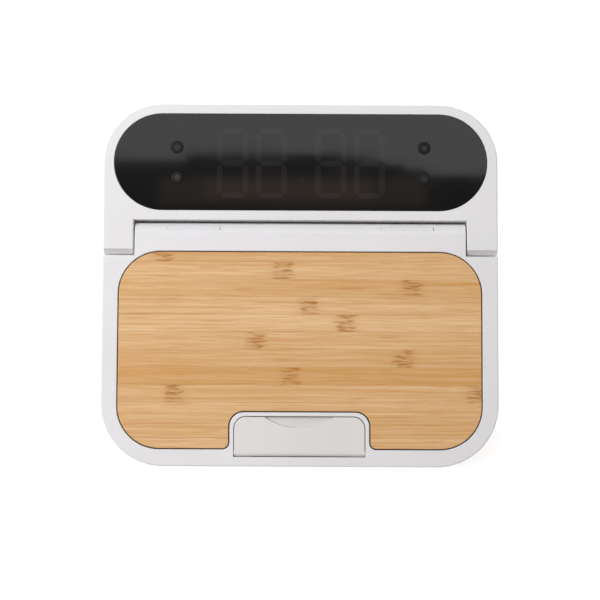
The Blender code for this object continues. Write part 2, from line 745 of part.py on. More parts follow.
def base_frame():
    """The white upper shell of the base, with the hinge barrel and the battery bay."""
    made = prism("base_frame", base_outline(), BOTTOM, TOP, material="white_abs")
    barrel = prism(
        "barrel",
        side_profile(AXIS_Y + KNUCKLE_RADIUS, SHOULDER_Y - SHOULDER_WALL, BARREL_ROUND_RADIUS),
        -BARREL_END_X,
        BARREL_END_X,
        along="X",
    )
    join(made, barrel)
    cavity = prism(
        "base_cavity", base_cavity_outline(), BOTTOM - CUT_MARGIN, TOP - BASE_TOP_WALL
    )
    bore = rod(
        "barrel_bore",
        (0, AXIS_Y, AXIS_Z),
        BARREL_BORE_RADIUS,
        2 * (BARREL_END_X - SIDE_WALL),
        along="X",
    )
    cut(made, cavity, bore)
    block = prism(
        "bay_block",
        [
            (-TAB_X, FRONT + SIDE_WALL / 2, 0),
            (TAB_X, FRONT + SIDE_WALL / 2, 0),
            (TAB_X, TAB_REAR_Y, TAB_CORNER_RADIUS),
            (-TAB_X, TAB_REAR_Y, TAB_CORNER_RADIUS),
        ],
        BAY_BOTTOM,
        TOP - BASE_TOP_WALL / 2,
    )
    join(made, block)
    screw_bosses(made, base_screw_places(), COVER_TOP + ASSEMBLY_GAP, TOP - BASE_TOP_WALL / 2)
    opening = prism(
        "platform_opening",
        platform_outline(PLATFORM_GAP),
        PLATFORM_BOTTOM - PRESS_TRAVEL - ASSEMBLY_GAP,
        TOP + CUT_MARGIN,
    )
    doorway = prism(
        "doorway",
        door_outline(DOOR_GAP),
        DOOR_PIVOT_Z - DOOR_KNUCKLE_RADIUS - DOOR_GAP,
        TOP + CUT_MARGIN,
    )
    knuckle_room = box(
        "door_knuckle_room",
        (-BAY_X, BAY_FRONT_Y, DOOR_PIVOT_Z - DOOR_KNUCKLE_RADIUS - DOOR_GAP),
        (BAY_X, DOOR_PIVOT_Y, TOP + CUT_MARGIN),
    )
    bay = box(
        "bay",
        (-BAY_LENGTH / 2, BAY_FRONT_Y, BAY_BOTTOM + BAY_FLOOR),
        (BAY_LENGTH / 2, BAY_REAR_Y, TOP - DOOR_THICKNESS),
    )
    scoop_room = prism(
        "scoop_room",
        scoop_outline(SCOOP_WALL + DOOR_GAP, DOOR_GAP),
        TOP - SCOOP_DEPTH - SCOOP_WALL - ASSEMBLY_GAP,
        TOP - DOOR_THICKNESS,
    )
    pins = rod(
        "door_pin_holes",
        (0, DOOR_PIVOT_Y, DOOR_PIVOT_Z),
        DOOR_PIN_RADIUS + SHAFT_CLEARANCE * 2,
        2 * (DOOR_WIDTH / 2 + DOOR_PIN_LENGTH + ASSEMBLY_GAP),
        along="X",
    )
    shafts = rod(
        "shaft_holes",
        (0, AXIS_Y, AXIS_Z),
        SHAFT_RADIUS + ASSEMBLY_GAP,
        2 * (BARREL_END_X + CUT_MARGIN),
        along="X",
    )
    cut(made, opening, doorway, knuckle_room, bay, scoop_room, pins, shafts)
    for name, sign in SIDES:
        slot = box(
            f"slot_{name}",
            (-SLOT_LENGTH / 2, -SLOT_WIDTH / 2, -SLOT_CUT_DEPTH),
            (SLOT_LENGTH / 2, SLOT_WIDTH / 2, SLOT_CUT_DEPTH),
        )
        set_on_barrel(slot, sign, 0)
        low, high = span(sign, BARREL_END_X + ARM_SIDE_GAP / 2, SIDE + CUT_MARGIN)
        hollow = rod(
            f"shoulder_hollow_{name}",
            ((low + high) / 2, AXIS_Y, AXIS_Z),
            ARM_SWING_RADIUS + SWING_GAP,
            high - low,
            along="X",
        )
        cut(made, slot, hollow)
    return made


def set_on_barrel(made, sign, depth):
    """Moves a piece to its place on the barrel's rear slope, that far under the surface."""
    lean = Vector((0, math.sin(SLOT_ANGLE), math.cos(SLOT_ANGLE)))
    round_centre = KNUCKLE_RADIUS - BARREL_ROUND_RADIUS
    corner = Vector((sign * (BARREL_END_X - SLOT_FROM_END), AXIS_Y, AXIS_Z))
    corner += Vector((0, round_centre, round_centre))
    made.location = corner + lean * (BARREL_ROUND_RADIUS - depth)
    made.rotation_euler = (-SLOT_ANGLE, 0, 0)


def hinge_slot_cap(name, sign):
    """The snap-in strip that closes a hinge slot in the barrel."""
    made = box(
        f"hinge_slot_cap_{name}",
        (-SLOT_LENGTH / 2 + ASSEMBLY_GAP, -SLOT_WIDTH / 2 + ASSEMBLY_GAP, -SLOT_CAP_THICKNESS / 2),
        (SLOT_LENGTH / 2 - ASSEMBLY_GAP, SLOT_WIDTH / 2 - ASSEMBLY_GAP, SLOT_CAP_THICKNESS / 2),
        "white_abs",
    )
    set_on_barrel(made, sign, SLOT_CAP_RECESS + SLOT_CAP_THICKNESS / 2)
    return made


def base_bottom_cover():
    """The flat cover under the base, with posts, foot pockets and screw holes."""
    made = prism(
        "base_bottom_cover",
        base_cavity_outline(ASSEMBLY_GAP),
        BOTTOM,
        COVER_TOP,
        material="grey_abs",
    )
    middle = BOTTOM + COVER_THICKNESS / 2
    for number, (x, y) in enumerate(main_board_post_places(), 1):
        top = MAIN_BOARD_BOTTOM - ASSEMBLY_GAP
        centre = (x, y, (middle + top) / 2)
        join(made, rod(f"main_board_post_{number}", centre, POST_RADIUS, top - middle))
    for name, sign in SIDES:
        top = BRACKET_BOTTOM - ASSEMBLY_GAP
        centre = (sign * BRACKET_X, BRACKET_SCREW_Y, (middle + top) / 2)
        join(made, rod(f"bracket_post_{name}", centre, SCREW_BOSS_RADIUS, top - middle))
    for name, sign in SIDES:
        centre = (sign * BRACKET_X, BRACKET_SCREW_Y, BOTTOM)
        cut(made, rod(f"bracket_post_hole_{name}", centre, SCREW_HOLE_RADIUS, THICKNESS))
    foot_pockets(made, base_foot_places())
    screw_holes(made, base_screw_places() + load_cell_screw_places(-1), BOTTOM)
    return made


def foot_pockets(made, places):
    """Shallow round pockets that locate the rubber feet."""
    for name, (x, y) in places.items():
        depth = FOOT_POCKET + ASSEMBLY_GAP
        centre = (x, y, BOTTOM + (depth - CUT_MARGIN) / 2)
        pocket = rod(
            f"{made.name}_pocket_{name}", centre, FOOT_RADIUS + ASSEMBLY_GAP, depth + CUT_MARGIN
        )
        cut(made, pocket)


def rubber_foot(name, x, y):
    """A round rubber foot with a chamfered rim, from the ground into its pocket."""
    height = GROUND_CLEARANCE + FOOT_POCKET
    chamfer = 0.0005
    profile = [
        (0, height),
        (FOOT_RADIUS, height),
        (FOOT_RADIUS, chamfer),
        (FOOT_RADIUS - chamfer, 0),
        (0, 0),
    ]
    return turned(name, profile, "rubber", (x, y, 0))


def hinge_sleeve(name, sign):
    """A steel friction sleeve that grips the hinge shaft, with its screw-down bracket."""
    reach = SHAFT_RADIUS + SHAFT_CLEARANCE
    half = SLEEVE_LENGTH / 2
    profile = [(SLEEVE_RADIUS, half), (SLEEVE_RADIUS, -half), (reach, -half), (reach, half)]
    made = turned(
        f"hinge_sleeve_{name}",
        profile,
        "steel",
        (sign * BRACKET_X, AXIS_Y, AXIS_Z),
        ALONG["X"],
        running=True,
    )
    low, high = span(sign, BRACKET_X - BRACKET_WIDTH / 2, BRACKET_X + BRACKET_WIDTH / 2)
    plate = box(
        f"bracket_plate_{name}",
        (low, AXIS_Y - BRACKET_REACH, BRACKET_BOTTOM),
        (high, AXIS_Y, BRACKET_BOTTOM + BRACKET_THICKNESS),
    )
    join(made, plate)
    hole = rod(
        f"bracket_hole_{name}",
        (sign * BRACKET_X, BRACKET_SCREW_Y, BRACKET_BOTTOM),
        SCREW_HOLE_RADIUS,
        THICKNESS / 2,
    )
    cut(made, hole)
    return made


def load_cell():
    """The aluminium bending beam: two cross holes joined by a slot thin its middle."""
    half, wide = LOAD_CELL_LENGTH / 2, LOAD_CELL_WIDTH / 2
    made = box(
        "load_cell",
        (-half, PLATFORM_Y - wide, LOAD_CELL_BOTTOM),
        (half, PLATFORM_Y + wide, LOAD_CELL_TOP),
        "aluminium",
    )
    middle = (LOAD_CELL_BOTTOM + LOAD_CELL_TOP) / 2
    reach = LOAD_CELL_HOLE_SPACING / 2
    slot_half = LOAD_CELL_HOLE_RADIUS / 2
    past = wide + CUT_MARGIN
    slot = box(
        "load_cell_slot",
        (-reach, PLATFORM_Y - past, middle - slot_half),
        (reach, PLATFORM_Y + past, middle + slot_half),
    )
    cut(made, slot)
    for name, sign in SIDES:
        centre = (sign * reach, PLATFORM_Y, middle)
        cut(made, rod(f"load_cell_eye_{name}", centre, LOAD_CELL_HOLE_RADIUS, 2 * past, "Y"))
        for number, (x, y) in enumerate(load_cell_screw_places(sign), 1):
            hole = rod(
                f"load_cell_thread_{name}_{number}", (x, y, middle), SCREW_HOLE_RADIUS, THICKNESS
            )
            cut(made, hole)
    return made


def load_cell_spacer(name, sign, low, high):
    """A plate between the load cell's end and what it is screwed to."""
    centre, half = sign * LOAD_CELL_END_X, LOAD_CELL_END_LENGTH / 2
    wide = LOAD_CELL_WIDTH / 2
    made = box(
        name, (centre - half, PLATFORM_Y - wide, low), (centre + half, PLATFORM_Y + wide, high),
        "steel",
    )
    for number, (x, y) in enumerate(load_cell_screw_places(sign), 1):
        cut(made, rod(f"{name}_hole_{number}", (x, y, low), SCREW_HOLE_RADIUS, THICKNESS))
    return made


def main_board():
    """The board that reads the load cell, on four posts of the bottom cover."""
    half, deep = MAIN_BOARD_LENGTH / 2, MAIN_BOARD_DEPTH / 2
    return box(
        "main_board",
        (MAIN_BOARD_X - half, MAIN_BOARD_Y - deep, MAIN_BOARD_BOTTOM),
        (MAIN_BOARD_X + half, MAIN_BOARD_Y + deep, MAIN_BOARD_TOP),
        "circuit_board",
    )


def plug_x():
    """X of the plug's end that faces the left hinge shaft."""
    return -(SHAFT_INNER_X - PLUG_TO_SHAFT)


def cable_plug():
    """The in-line plug on the hinge's axis, where the head's cable meets the base's."""
    half = PLUG_SIDE / 2
    return box(
        "cable_plug",
        (plug_x(), AXIS_Y - half, AXIS_Z - half),
        (plug_x() + PLUG_LENGTH, AXIS_Y + half, AXIS_Z + half),
        "black_abs",
    )


def base_cable():
    """From the plug to the main board's left edge, low in the base."""
    start = plug_x() + PLUG_LENGTH + ASSEMBLY_GAP
    board_x = MAIN_BOARD_X - MAIN_BOARD_LENGTH / 2
    rest = MAIN_BOARD_TOP + ASSEMBLY_GAP + CABLE_RADIUS
    route = [
        (start, AXIS_Y, AXIS_Z),
        (start + 0.006, AXIS_Y - 0.001, AXIS_Z),
        (start + 0.022, AXIS_Y - 0.012, (AXIS_Z + rest) / 2),
        (board_x - 0.012, MAIN_BOARD_Y + 0.008, rest),
        (board_x - 0.002, MAIN_BOARD_Y + 0.004, rest),
        (board_x + 0.006, MAIN_BOARD_Y + 0.004, rest),
    ]
    return wire("base_cable", route, CABLE_RADIUS, "wire_jacket")


def load_cell_lead():
    """The strain gauges' lead, from the load cell's free end to the main board."""
    rest = MAIN_BOARD_TOP + ASSEMBLY_GAP + SENSOR_LEAD_RADIUS
    front = MAIN_BOARD_Y - MAIN_BOARD_DEPTH / 2
    start = LOAD_CELL_LENGTH / 2 + ASSEMBLY_GAP
    route = [
        (start, PLATFORM_Y, rest),
        (start + 0.006, PLATFORM_Y, rest),
        (start + 0.012, PLATFORM_Y + 0.003, rest),
        (start + 0.014, front - 0.002, rest),
        (start + 0.014, front + 0.006, rest),
    ]
    return wire("load_cell_lead", route, SENSOR_LEAD_RADIUS, "wire_jacket")


# Batteries


def cell_places():
    """Name, row and the side of the positive end of each cell."""
    return [("front", -1, -1), ("rear", 1, 1)]


def aaa_cell(name, row, positive):
    """One AAA cell with its positive nub against the contact on that side."""
    reach = BAY_LENGTH / 2 - CONTACT_THICKNESS - 2 * ASSEMBLY_GAP
    body = CELL_LENGTH - CELL_NUB_LENGTH
    edge = 0.0004
    profile = [
        (0, reach),
        (CELL_NUB_RADIUS, reach),
        (CELL_NUB_RADIUS, reach - CELL_NUB_LENGTH),
        (CELL_RADIUS - edge, reach - CELL_NUB_LENGTH),
        (CELL_RADIUS, reach - CELL_NUB_LENGTH - edge),
        (CELL_RADIUS, reach - CELL_NUB_LENGTH - body + edge),
        (CELL_RADIUS - edge, reach - CELL_LENGTH),
        (0, reach - CELL_LENGTH),
    ]
    y = BAY_Y + row * CELL_SPACING / 2
    turn = (0, positive * math.pi / 2, 0)
    return turned(f"aaa_cell_{name}", profile, "cell_wrap", (0, y, CELL_Z), turn)


def contact_plate(name, side, row, width):
    """A sprung steel plate at one end of the bay."""
    outer = BAY_LENGTH / 2 - ASSEMBLY_GAP
    low, high = span(side, outer - CONTACT_THICKNESS, outer)
    y = BAY_Y + row * CELL_SPACING / 2
    return box(
        name,
        (low, y - width / 2, CELL_Z - CONTACT_HEIGHT / 2),
        (high, y + width / 2, CELL_Z + CONTACT_HEIGHT / 2),
        "steel",
    )


def contact_spring(name, row, side):
    """A coil spring between a cell's flat end and the contact on that side."""
    outer = BAY_LENGTH / 2 - CONTACT_THICKNESS - 2 * ASSEMBLY_GAP - SPRING_WIRE_RADIUS
    cell_end = CELL_LENGTH - (BAY_LENGTH / 2 - CONTACT_THICKNESS - 2 * ASSEMBLY_GAP)
    inner = cell_end + ASSEMBLY_GAP + SPRING_WIRE_RADIUS
    curve = bpy.data.curves.new(name, "CURVE")
    curve.dimensions = "3D"
    curve.bevel_depth = SPRING_WIRE_RADIUS
    curve.bevel_resolution = 2
    curve.use_fill_caps = True
    count = SPRING_TURNS * SPRING_POINTS_PER_TURN
    spline = curve.splines.new("POLY")
    spline.points.add(count)
    y = BAY_Y + row * CELL_SPACING / 2
    for step, target in enumerate(spline.points):
        share = step / count
        angle = math.tau * SPRING_TURNS * share
        x = side * (outer + (inner - outer) * share)
        across = SPRING_RADIUS * math.cos(angle)
        up = SPRING_RADIUS * math.sin(angle)
        target.co = (x, y + across, CELL_Z + up, 1)
    return place(name, curve, "steel")


def scoop_outline(grow=0.0, past=0.0):
    """Plan of the finger scoop: an arc that opens at the door's rear edge."""
    half = SCOOP_CHORD / 2
    radius = (half**2 + SCOOP_SAGITTA**2) / (2 * SCOOP_SAGITTA)
    centre = DOOR_REAR_Y - SCOOP_SAGITTA + radius
    radius += grow
    rear = DOOR_REAR_Y + past
    spread = math.acos((centre - rear) / radius)
    angles = [spread * (2 * step / SCOOP_STEPS - 1) for step in range(SCOOP_STEPS + 1)]
    return [(radius * math.sin(a), centre - radius * math.cos(a), 0) for a in angles]


def battery_door():
    """The hinged door: a thin plate with a finger scoop, a round knuckle and moulded pins."""
    made = prism(
        "battery_door", door_outline(), TOP - DOOR_THICKNESS, TOP, material="white_abs"
    )
    centre = (0, DOOR_PIVOT_Y, DOOR_PIVOT_Z)
    knuckle = rod("door_knuckle", centre, DOOR_KNUCKLE_RADIUS, DOOR_WIDTH, along="X")
    pin_length = DOOR_WIDTH + 2 * DOOR_PIN_LENGTH
    pins = rod("door_pins", centre, DOOR_PIN_RADIUS, pin_length, along="X")
    pan = prism(
        "scoop_pan",
        scoop_outline(SCOOP_WALL),
        TOP - SCOOP_DEPTH - SCOOP_WALL,
        TOP - DOOR_THICKNESS / 2,
    )
    scoop = prism("scoop", scoop_outline(0, CUT_MARGIN), TOP - SCOOP_DEPTH, TOP + CUT_MARGIN)
    join(made, knuckle, pins, pan)
    cut(made, scoop)
    return made


# Platform


def bamboo_platform():
    """The laminated bamboo board that carries what is weighed."""
    return prism(
        "bamboo_platform", platform_outline(), PLATFORM_BOTTOM, PLATFORM_TOP, material="bamboo"
    )


def platform_carrier():
    """The stiff plate under the bamboo, screwed to the load cell's free end."""
    made = prism(
        "platform_carrier",
        platform_outline(-CARRIER_INSET),
        CARRIER_BOTTOM,
        CARRIER_TOP,
        material="grey_abs",
    )
    seat = CARRIER_TOP - COUNTERBORE_DEPTH
    for number, (x, y) in enumerate(load_cell_screw_places(1), 1):
        sink = rod(
            f"carrier_counterbore_{number}",
            (x, y, seat + THICKNESS / 2),
            COUNTERBORE_RADIUS,
            THICKNESS,
        )
        cut(made, sink, rod(f"carrier_hole_{number}", (x, y, seat), SCREW_HOLE_RADIUS, THICKNESS))
    return made


# Head


def head_front_housing():
    """The white front shell of the head, with both hinge arms and the window's seat."""
    made = prism(
        "head_front_housing",
        [
            (-SIDE, HEAD_FRONT_Y, 0),
            (SIDE, HEAD_FRONT_Y, 0),
            (SIDE, REAR, HEAD_CORNER_RADIUS),
            (-SIDE, REAR, HEAD_CORNER_RADIUS),
        ],
        BOTTOM,
        TOP,
        material="white_abs",
    )
    for name, sign in SIDES:
        low, high = span(sign, ARM_INNER_X, SIDE)
        profile = side_profile(
            AXIS_Y - KNUCKLE_RADIUS, HEAD_FRONT_Y + SIDE_WALL, ARM_END_RADIUS
        )
        join(made, prism(f"arm_{name}", profile, low, high, along="X"))
    cavity = prism(
        "head_cavity", head_cavity_outline(), BOTTOM - CUT_MARGIN, TOP - HEAD_TOP_WALL
    )
    cut(made, cavity)
    for name, sign in SIDES:
        low, high = span(sign, ARM_INNER_X + SIDE_WALL, SIDE - SIDE_WALL)
        bore = rod(
            f"arm_bore_{name}",
            ((low + high) / 2, AXIS_Y, AXIS_Z),
            BARREL_BORE_RADIUS,
            high - low,
            along="X",
        )
        cut(made, bore)
    for name, sign in SIDES:
        start = ARM_INNER_X + SIDE_WALL / 2
        end = ARM_INNER_X + SIDE_WALL + ARM_BOSS_LENGTH
        boss = rod(
            f"arm_boss_{name}",
            (sign * (start + end) / 2, AXIS_Y, AXIS_Z),
            ARM_BOSS_RADIUS,
            end - start,
            along="X",
        )
        hole = rod(
            f"arm_hole_{name}",
            (sign * (ARM_INNER_X + end) / 2, AXIS_Y, AXIS_Z),
            SHAFT_RADIUS + ASSEMBLY_GAP,
            end - ARM_INNER_X + 2 * CUT_MARGIN,
            along="X",
        )
        join(made, boss)
        cut(made, hole)
    screw_bosses(made, head_screw_places(), COVER_TOP + ASSEMBLY_GAP, TOP - HEAD_TOP_WALL / 2)
    seat = prism(
        "window_seat",
        window_outline(WINDOW_GAP),
        WINDOW_BOTTOM - ASSEMBLY_GAP,
        TOP + CUT_MARGIN,
    )
    opening = prism(
        "window_opening",
        window_outline(-WINDOW_LEDGE),
        TOP - HEAD_TOP_WALL - CUT_MARGIN,
        TOP,
    )
    cut(made, seat, opening)
    return made


def head_rear_cover():
    """The cover on the head's underside, with board posts and foot pockets."""
    made = prism(
        "head_rear_cover",
        head_cavity_outline(ASSEMBLY_GAP),
        BOTTOM,
        COVER_TOP,
        material="white_abs",
    )
    middle = BOTTOM + COVER_THICKNESS / 2
    top = BOARD_BOTTOM - ASSEMBLY_GAP
    for number, (x, y) in enumerate(display_post_places(), 1):
        centre = (x, y, (middle + top) / 2)
        join(made, rod(f"display_post_{number}", centre, POST_RADIUS, top - middle))
    foot_pockets(made, head_foot_places())
    screw_holes(made, head_screw_places(), BOTTOM)
    return made


def display_window():
    """The smoked window over the display, with a hole for each button."""
    made = prism(
        "display_window", window_outline(), WINDOW_BOTTOM, WINDOW_TOP, material="smoked_acrylic"
    )
    for name, (x, y) in button_places().items():
        hole = rod(
            f"{name}_hole", (x, y, WINDOW_TOP), BUTTON_RADIUS + ASSEMBLY_GAP, THICKNESS / 2
        )
        cut(made, hole)
    return made


def push_button(name, x, y):
    """A cap that stands just proud of the window, held by a flange under it."""
    top = TOP + BUTTON_PROUD - BUTTON_BOTTOM
    edge = 0.0003
    profile = [
        (0, top),
        (BUTTON_RADIUS - edge, top),
        (BUTTON_RADIUS, top - edge),
        (BUTTON_RADIUS, BUTTON_FLANGE_HEIGHT),
        (BUTTON_FLANGE_RADIUS, BUTTON_FLANGE_HEIGHT),
        (BUTTON_FLANGE_RADIUS, 0),
        (0, 0),
    ]
    return turned(name, profile, "black_abs", (x, y, BUTTON_BOTTOM))


def tact_switch(name, x, y):
    """The switch under a button: a square body and a round stem."""
    bottom = BOARD_TOP + ASSEMBLY_GAP
    body_top = bottom + SWITCH_BODY_HEIGHT
    stem_top = BUTTON_BOTTOM - BUTTON_TRAVEL - ASSEMBLY_GAP
    half = SWITCH_SIDE / 2
    made = box(name, (x - half, y - half, bottom), (x + half, y + half, body_top), "black_abs")
    low = (bottom + body_top) / 2
    stem = rod(f"{name}_stem", (x, y, (low + stem_top) / 2), SWITCH_STEM_RADIUS, stem_top - low)
    join(made, stem)
    return made


def display_board():
    """The board behind the window."""
    half, deep = DISPLAY_BOARD_LENGTH / 2, DISPLAY_BOARD_DEPTH / 2
    return box(
        "display_board",
        (-half, WINDOW_Y - deep, BOARD_BOTTOM),
        (half, WINDOW_Y + deep, BOARD_TOP),
        "circuit_board",
    )


def led_digit_module():
    """The block of four LED digits."""
    half, deep = MODULE_LENGTH / 2, MODULE_DEPTH / 2
    return box(
        "led_digit_module",
        (-half, WINDOW_Y - deep, MODULE_BOTTOM),
        (half, WINDOW_Y + deep, MODULE_TOP),
        "black_abs",
    )


def hinge_shaft(name, sign):
    """A hollow steel shaft, flanged where the head's arm holds it."""
    inner, outer = SHAFT_INNER_X, SHAFT_OUTER_X
    flange = outer - SHAFT_FLANGE_WIDTH
    profile = [
        (SHAFT_FLANGE_RADIUS, outer),
        (SHAFT_FLANGE_RADIUS, flange),
        (SHAFT_RADIUS, flange),
        (SHAFT_RADIUS, inner),
        (SHAFT_BORE_RADIUS, inner),
        (SHAFT_BORE_RADIUS, outer),
    ]
    turn = (0, sign * math.pi / 2, 0)
    return turned(
        f"hinge_shaft_{name}", profile, "steel", (0, AXIS_Y, AXIS_Z), turn, running=True
    )


def display_cable():
    """From the plug, along the hinge's axis through the hollow left shaft, to the board."""
    arm = -(SHAFT_OUTER_X + SIDE - SIDE_WALL) / 2
    board_x = -(DISPLAY_BOARD_LENGTH / 2 + CABLE_TO_BOARD + CABLE_RADIUS)
    turn = 0.0012
    route = [
        (plug_x() - ASSEMBLY_GAP, AXIS_Y, AXIS_Z),
        (-SHAFT_INNER_X, AXIS_Y, AXIS_Z),
        (-BARREL_END_X, AXIS_Y, AXIS_Z),
        (-SHAFT_OUTER_X, AXIS_Y, AXIS_Z),
        (arm + turn, AXIS_Y + turn / 2, AXIS_Z),
        (arm, AXIS_Y + 4 * turn, AXIS_Z),
        (arm, HEAD_FRONT_Y, AXIS_Z),
        (arm + 2 * turn, HEAD_FRONT_Y + 0.008, AXIS_Z),
        (board_x - 0.006, WINDOW_Y - 0.010, BOARD_BOTTOM),
        (board_x, WINDOW_Y - 0.004, BOARD_BOTTOM),
        (board_x, WINDOW_Y + 0.002, BOARD_BOTTOM),
    ]
    return wire("display_cable", route, CABLE_RADIUS, "wire_jacket")


def build_base():
    """Everything that stays still on the table."""
    base_frame()
    base_bottom_cover()
    for name, sign in SIDES:
        hinge_slot_cap(name, sign)
        hinge_sleeve(name, sign)
        seat = BRACKET_BOTTOM + BRACKET_THICKNESS + ASSEMBLY_GAP
        x = sign * BRACKET_X
        machine_screw(f"hinge_bracket_screw_{name}", x, BRACKET_SCREW_Y, seat, False)
    for name, (x, y) in base_foot_places().items():
        rubber_foot(f"base_foot_{name}", x, y)
    for number, (x, y) in enumerate(base_screw_places(), 1):
        machine_screw(f"base_cover_screw_{number}", x, y, BOTTOM + SCREW_HEAD_HEIGHT, True)
    for number, (x, y) in enumerate(load_cell_screw_places(-1), 1):
        machine_screw(f"load_cell_screw_{number}", x, y, BOTTOM + SCREW_HEAD_HEIGHT, True)
    load_cell()
    low = COVER_TOP + ASSEMBLY_GAP
    load_cell_spacer("load_cell_base_spacer", -1, low, low + BASE_SPACER_HEIGHT)
    main_board()
    cable_plug()
    base_cable()
    load_cell_lead()


def build_batteries():
    """Two cells side by side, head to tail, with their contacts."""
    for name, row, positive in cell_places():
        aaa_cell(name, row, positive)
        contact_spring(f"contact_spring_{name}", row, -positive)
    contact_plate("contact_bridge", -1, 0, CELL_SPACING + CONTACT_WIDTH)
    contact_plate("contact_plate_negative", 1, -1, CONTACT_WIDTH)
    contact_plate("contact_plate_positive", 1, 1, CONTACT_WIDTH)
    pivot("battery_door_pivot", (0, DOOR_PIVOT_Y, DOOR_PIVOT_Z), [battery_door()])


def build_platform():
    """What moves down with the load."""
    low, high = LOAD_CELL_TOP + ASSEMBLY_GAP, CARRIER_BOTTOM - ASSEMBLY_GAP
    parts = [
        bamboo_platform(),
        platform_carrier(),
        load_cell_spacer("load_cell_top_spacer", 1, low, high),
    ]
    seat = CARRIER_TOP - SCREW_HEAD_HEIGHT
    for number, (x, y) in enumerate(load_cell_screw_places(1), 1):
        parts.append(machine_screw(f"platform_screw_{number}", x, y, seat, False))
    pivot("platform_centre", (0, PLATFORM_Y, PLATFORM_TOP), parts)


def build_head():
    """What tilts about the hinge's axis, with the four buttons in it."""
    parts = [
        head_front_housing(),
        head_rear_cover(),
        display_window(),
        display_board(),
        led_digit_module(),
        display_cable(),
    ]
    for name, sign in SIDES:
        parts.append(hinge_shaft(name, sign))
    for name, (x, y) in head_foot_places().items():
        parts.append(rubber_foot(f"head_foot_{name}", x, y))
    for number, (x, y) in enumerate(head_screw_places(), 1):
        seat = BOTTOM + SCREW_HEAD_HEIGHT
        parts.append(machine_screw(f"head_cover_screw_{number}", x, y, seat, True))
    for name, (x, y) in button_places().items():
        parts.append(tact_switch(f"{name}_switch", x, y))
        parts.append(push_button(name, x, y))
    pivot("head_pivot", (0, AXIS_Y, AXIS_Z), parts)


build_base()
build_batteries()
build_platform()
build_head()
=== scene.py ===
"""The finished look of a kitchen scale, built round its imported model.

The base, head, door, platform and display are remade with fine arcs and soft edges, and every
piece gets a material worked out from what it is made of. All sizes are in metres, +X is to the
user's right, +Y away from the user and +Z up.
"""

from __future__ import annotations

import json
import logging
import math
import sys
from dataclasses import dataclass
from enum import Enum
from typing import Any, Callable, Sequence

import bmesh
import bpy
from mathutils import Matrix, Vector

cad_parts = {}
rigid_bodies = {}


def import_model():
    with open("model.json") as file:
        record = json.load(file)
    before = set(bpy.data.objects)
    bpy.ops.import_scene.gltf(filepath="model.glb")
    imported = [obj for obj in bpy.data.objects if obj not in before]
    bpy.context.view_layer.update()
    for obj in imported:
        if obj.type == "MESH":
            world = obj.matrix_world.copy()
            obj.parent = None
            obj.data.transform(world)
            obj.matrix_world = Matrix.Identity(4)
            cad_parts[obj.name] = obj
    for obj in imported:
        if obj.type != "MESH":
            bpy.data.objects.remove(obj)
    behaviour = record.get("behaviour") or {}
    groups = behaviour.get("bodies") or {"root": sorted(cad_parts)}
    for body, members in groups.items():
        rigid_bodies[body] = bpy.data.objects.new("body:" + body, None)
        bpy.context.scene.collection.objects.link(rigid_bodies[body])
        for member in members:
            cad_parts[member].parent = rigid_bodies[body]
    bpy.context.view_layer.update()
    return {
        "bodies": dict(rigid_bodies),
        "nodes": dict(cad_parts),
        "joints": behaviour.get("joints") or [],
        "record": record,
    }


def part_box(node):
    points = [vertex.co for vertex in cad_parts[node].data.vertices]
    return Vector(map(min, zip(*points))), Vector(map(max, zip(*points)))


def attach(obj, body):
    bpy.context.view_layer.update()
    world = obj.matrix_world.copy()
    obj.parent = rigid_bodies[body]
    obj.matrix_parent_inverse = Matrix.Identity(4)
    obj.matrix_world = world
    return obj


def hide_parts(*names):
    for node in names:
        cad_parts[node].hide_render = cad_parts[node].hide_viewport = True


log = logging.getLogger("kitchen_scale")

MM = 0.001
ARC_STEPS = 16  # facets on a quarter turn of an outline
EDGE_STEPS = 4  # facets on a softened edge
ROUND_FACETS = 64  # facets round a turned piece that shows
CUT_PAST = 1.0 * MM  # how far a cutter runs past what it cuts
MOUTH_EDGE = 0.2 * MM  # softness of the edge round a shell's open underside
SHARP_ANGLE = math.radians(32)
FLAT_FACES = 90  # weight that flat faces have over narrow ones when they are shaded
MERGE_DISTANCE = 1e-6

MOST_NOISE = (0.3, 0.7)  # nearly all of a noise's values lie in this range
MIDDLE_NOISE = (0.35, 0.65)

Corners = list[tuple[float, float, float]]
Plan = Callable[[float], Corners]
Range = tuple[float, float]
Source = Any  # what a node's input takes: a node, one of its outputs, or a plain value


class Slot(Enum):
    """The record's material slots."""

    WHITE = "white_abs"
    GREY = "grey_abs"
    BAMBOO = "bamboo"
    WINDOW = "window"
    BLACK = "black_abs"
    RUBBER = "rubber"
    ALUMINIUM = "aluminium"
    STEEL = "steel"
    BOARD = "circuit_board"
    WRAP = "cell_wrap"
    JACKET = "wire_jacket"


class Axis(Enum):
    """Which way an outline is extruded."""

    UP = "up"
    ACROSS = "across"

    def point(self, first: float, second: float, along: float) -> Vector:
        """Sets a point of an outline in space.

        Args:
            first: The outline's first coordinate.
            second: Its second coordinate.
            along: How far along the extrusion.

        Returns:
            The point.
        """
        if self is Axis.UP:
            return Vector((first, second, along))
        return Vector((along, first, second))


# Nodes and materials


def linear(hex_colour: str) -> tuple[float, float, float, float]:
    """Turns an sRGB hex colour into linear red, green, blue and alpha.

    Args:
        hex_colour: Six hex digits after a hash.

    Returns:
        The colour as a shader socket takes it.
    """
    parts = [int(hex_colour[start:start + 2], 16) / 255 for start in (1, 3, 5)]
    bent = [c / 12.92 if c <= 0.04045 else ((c + 0.055) / 1.055) ** 2.4 for c in parts]
    return (*bent, 1.0)


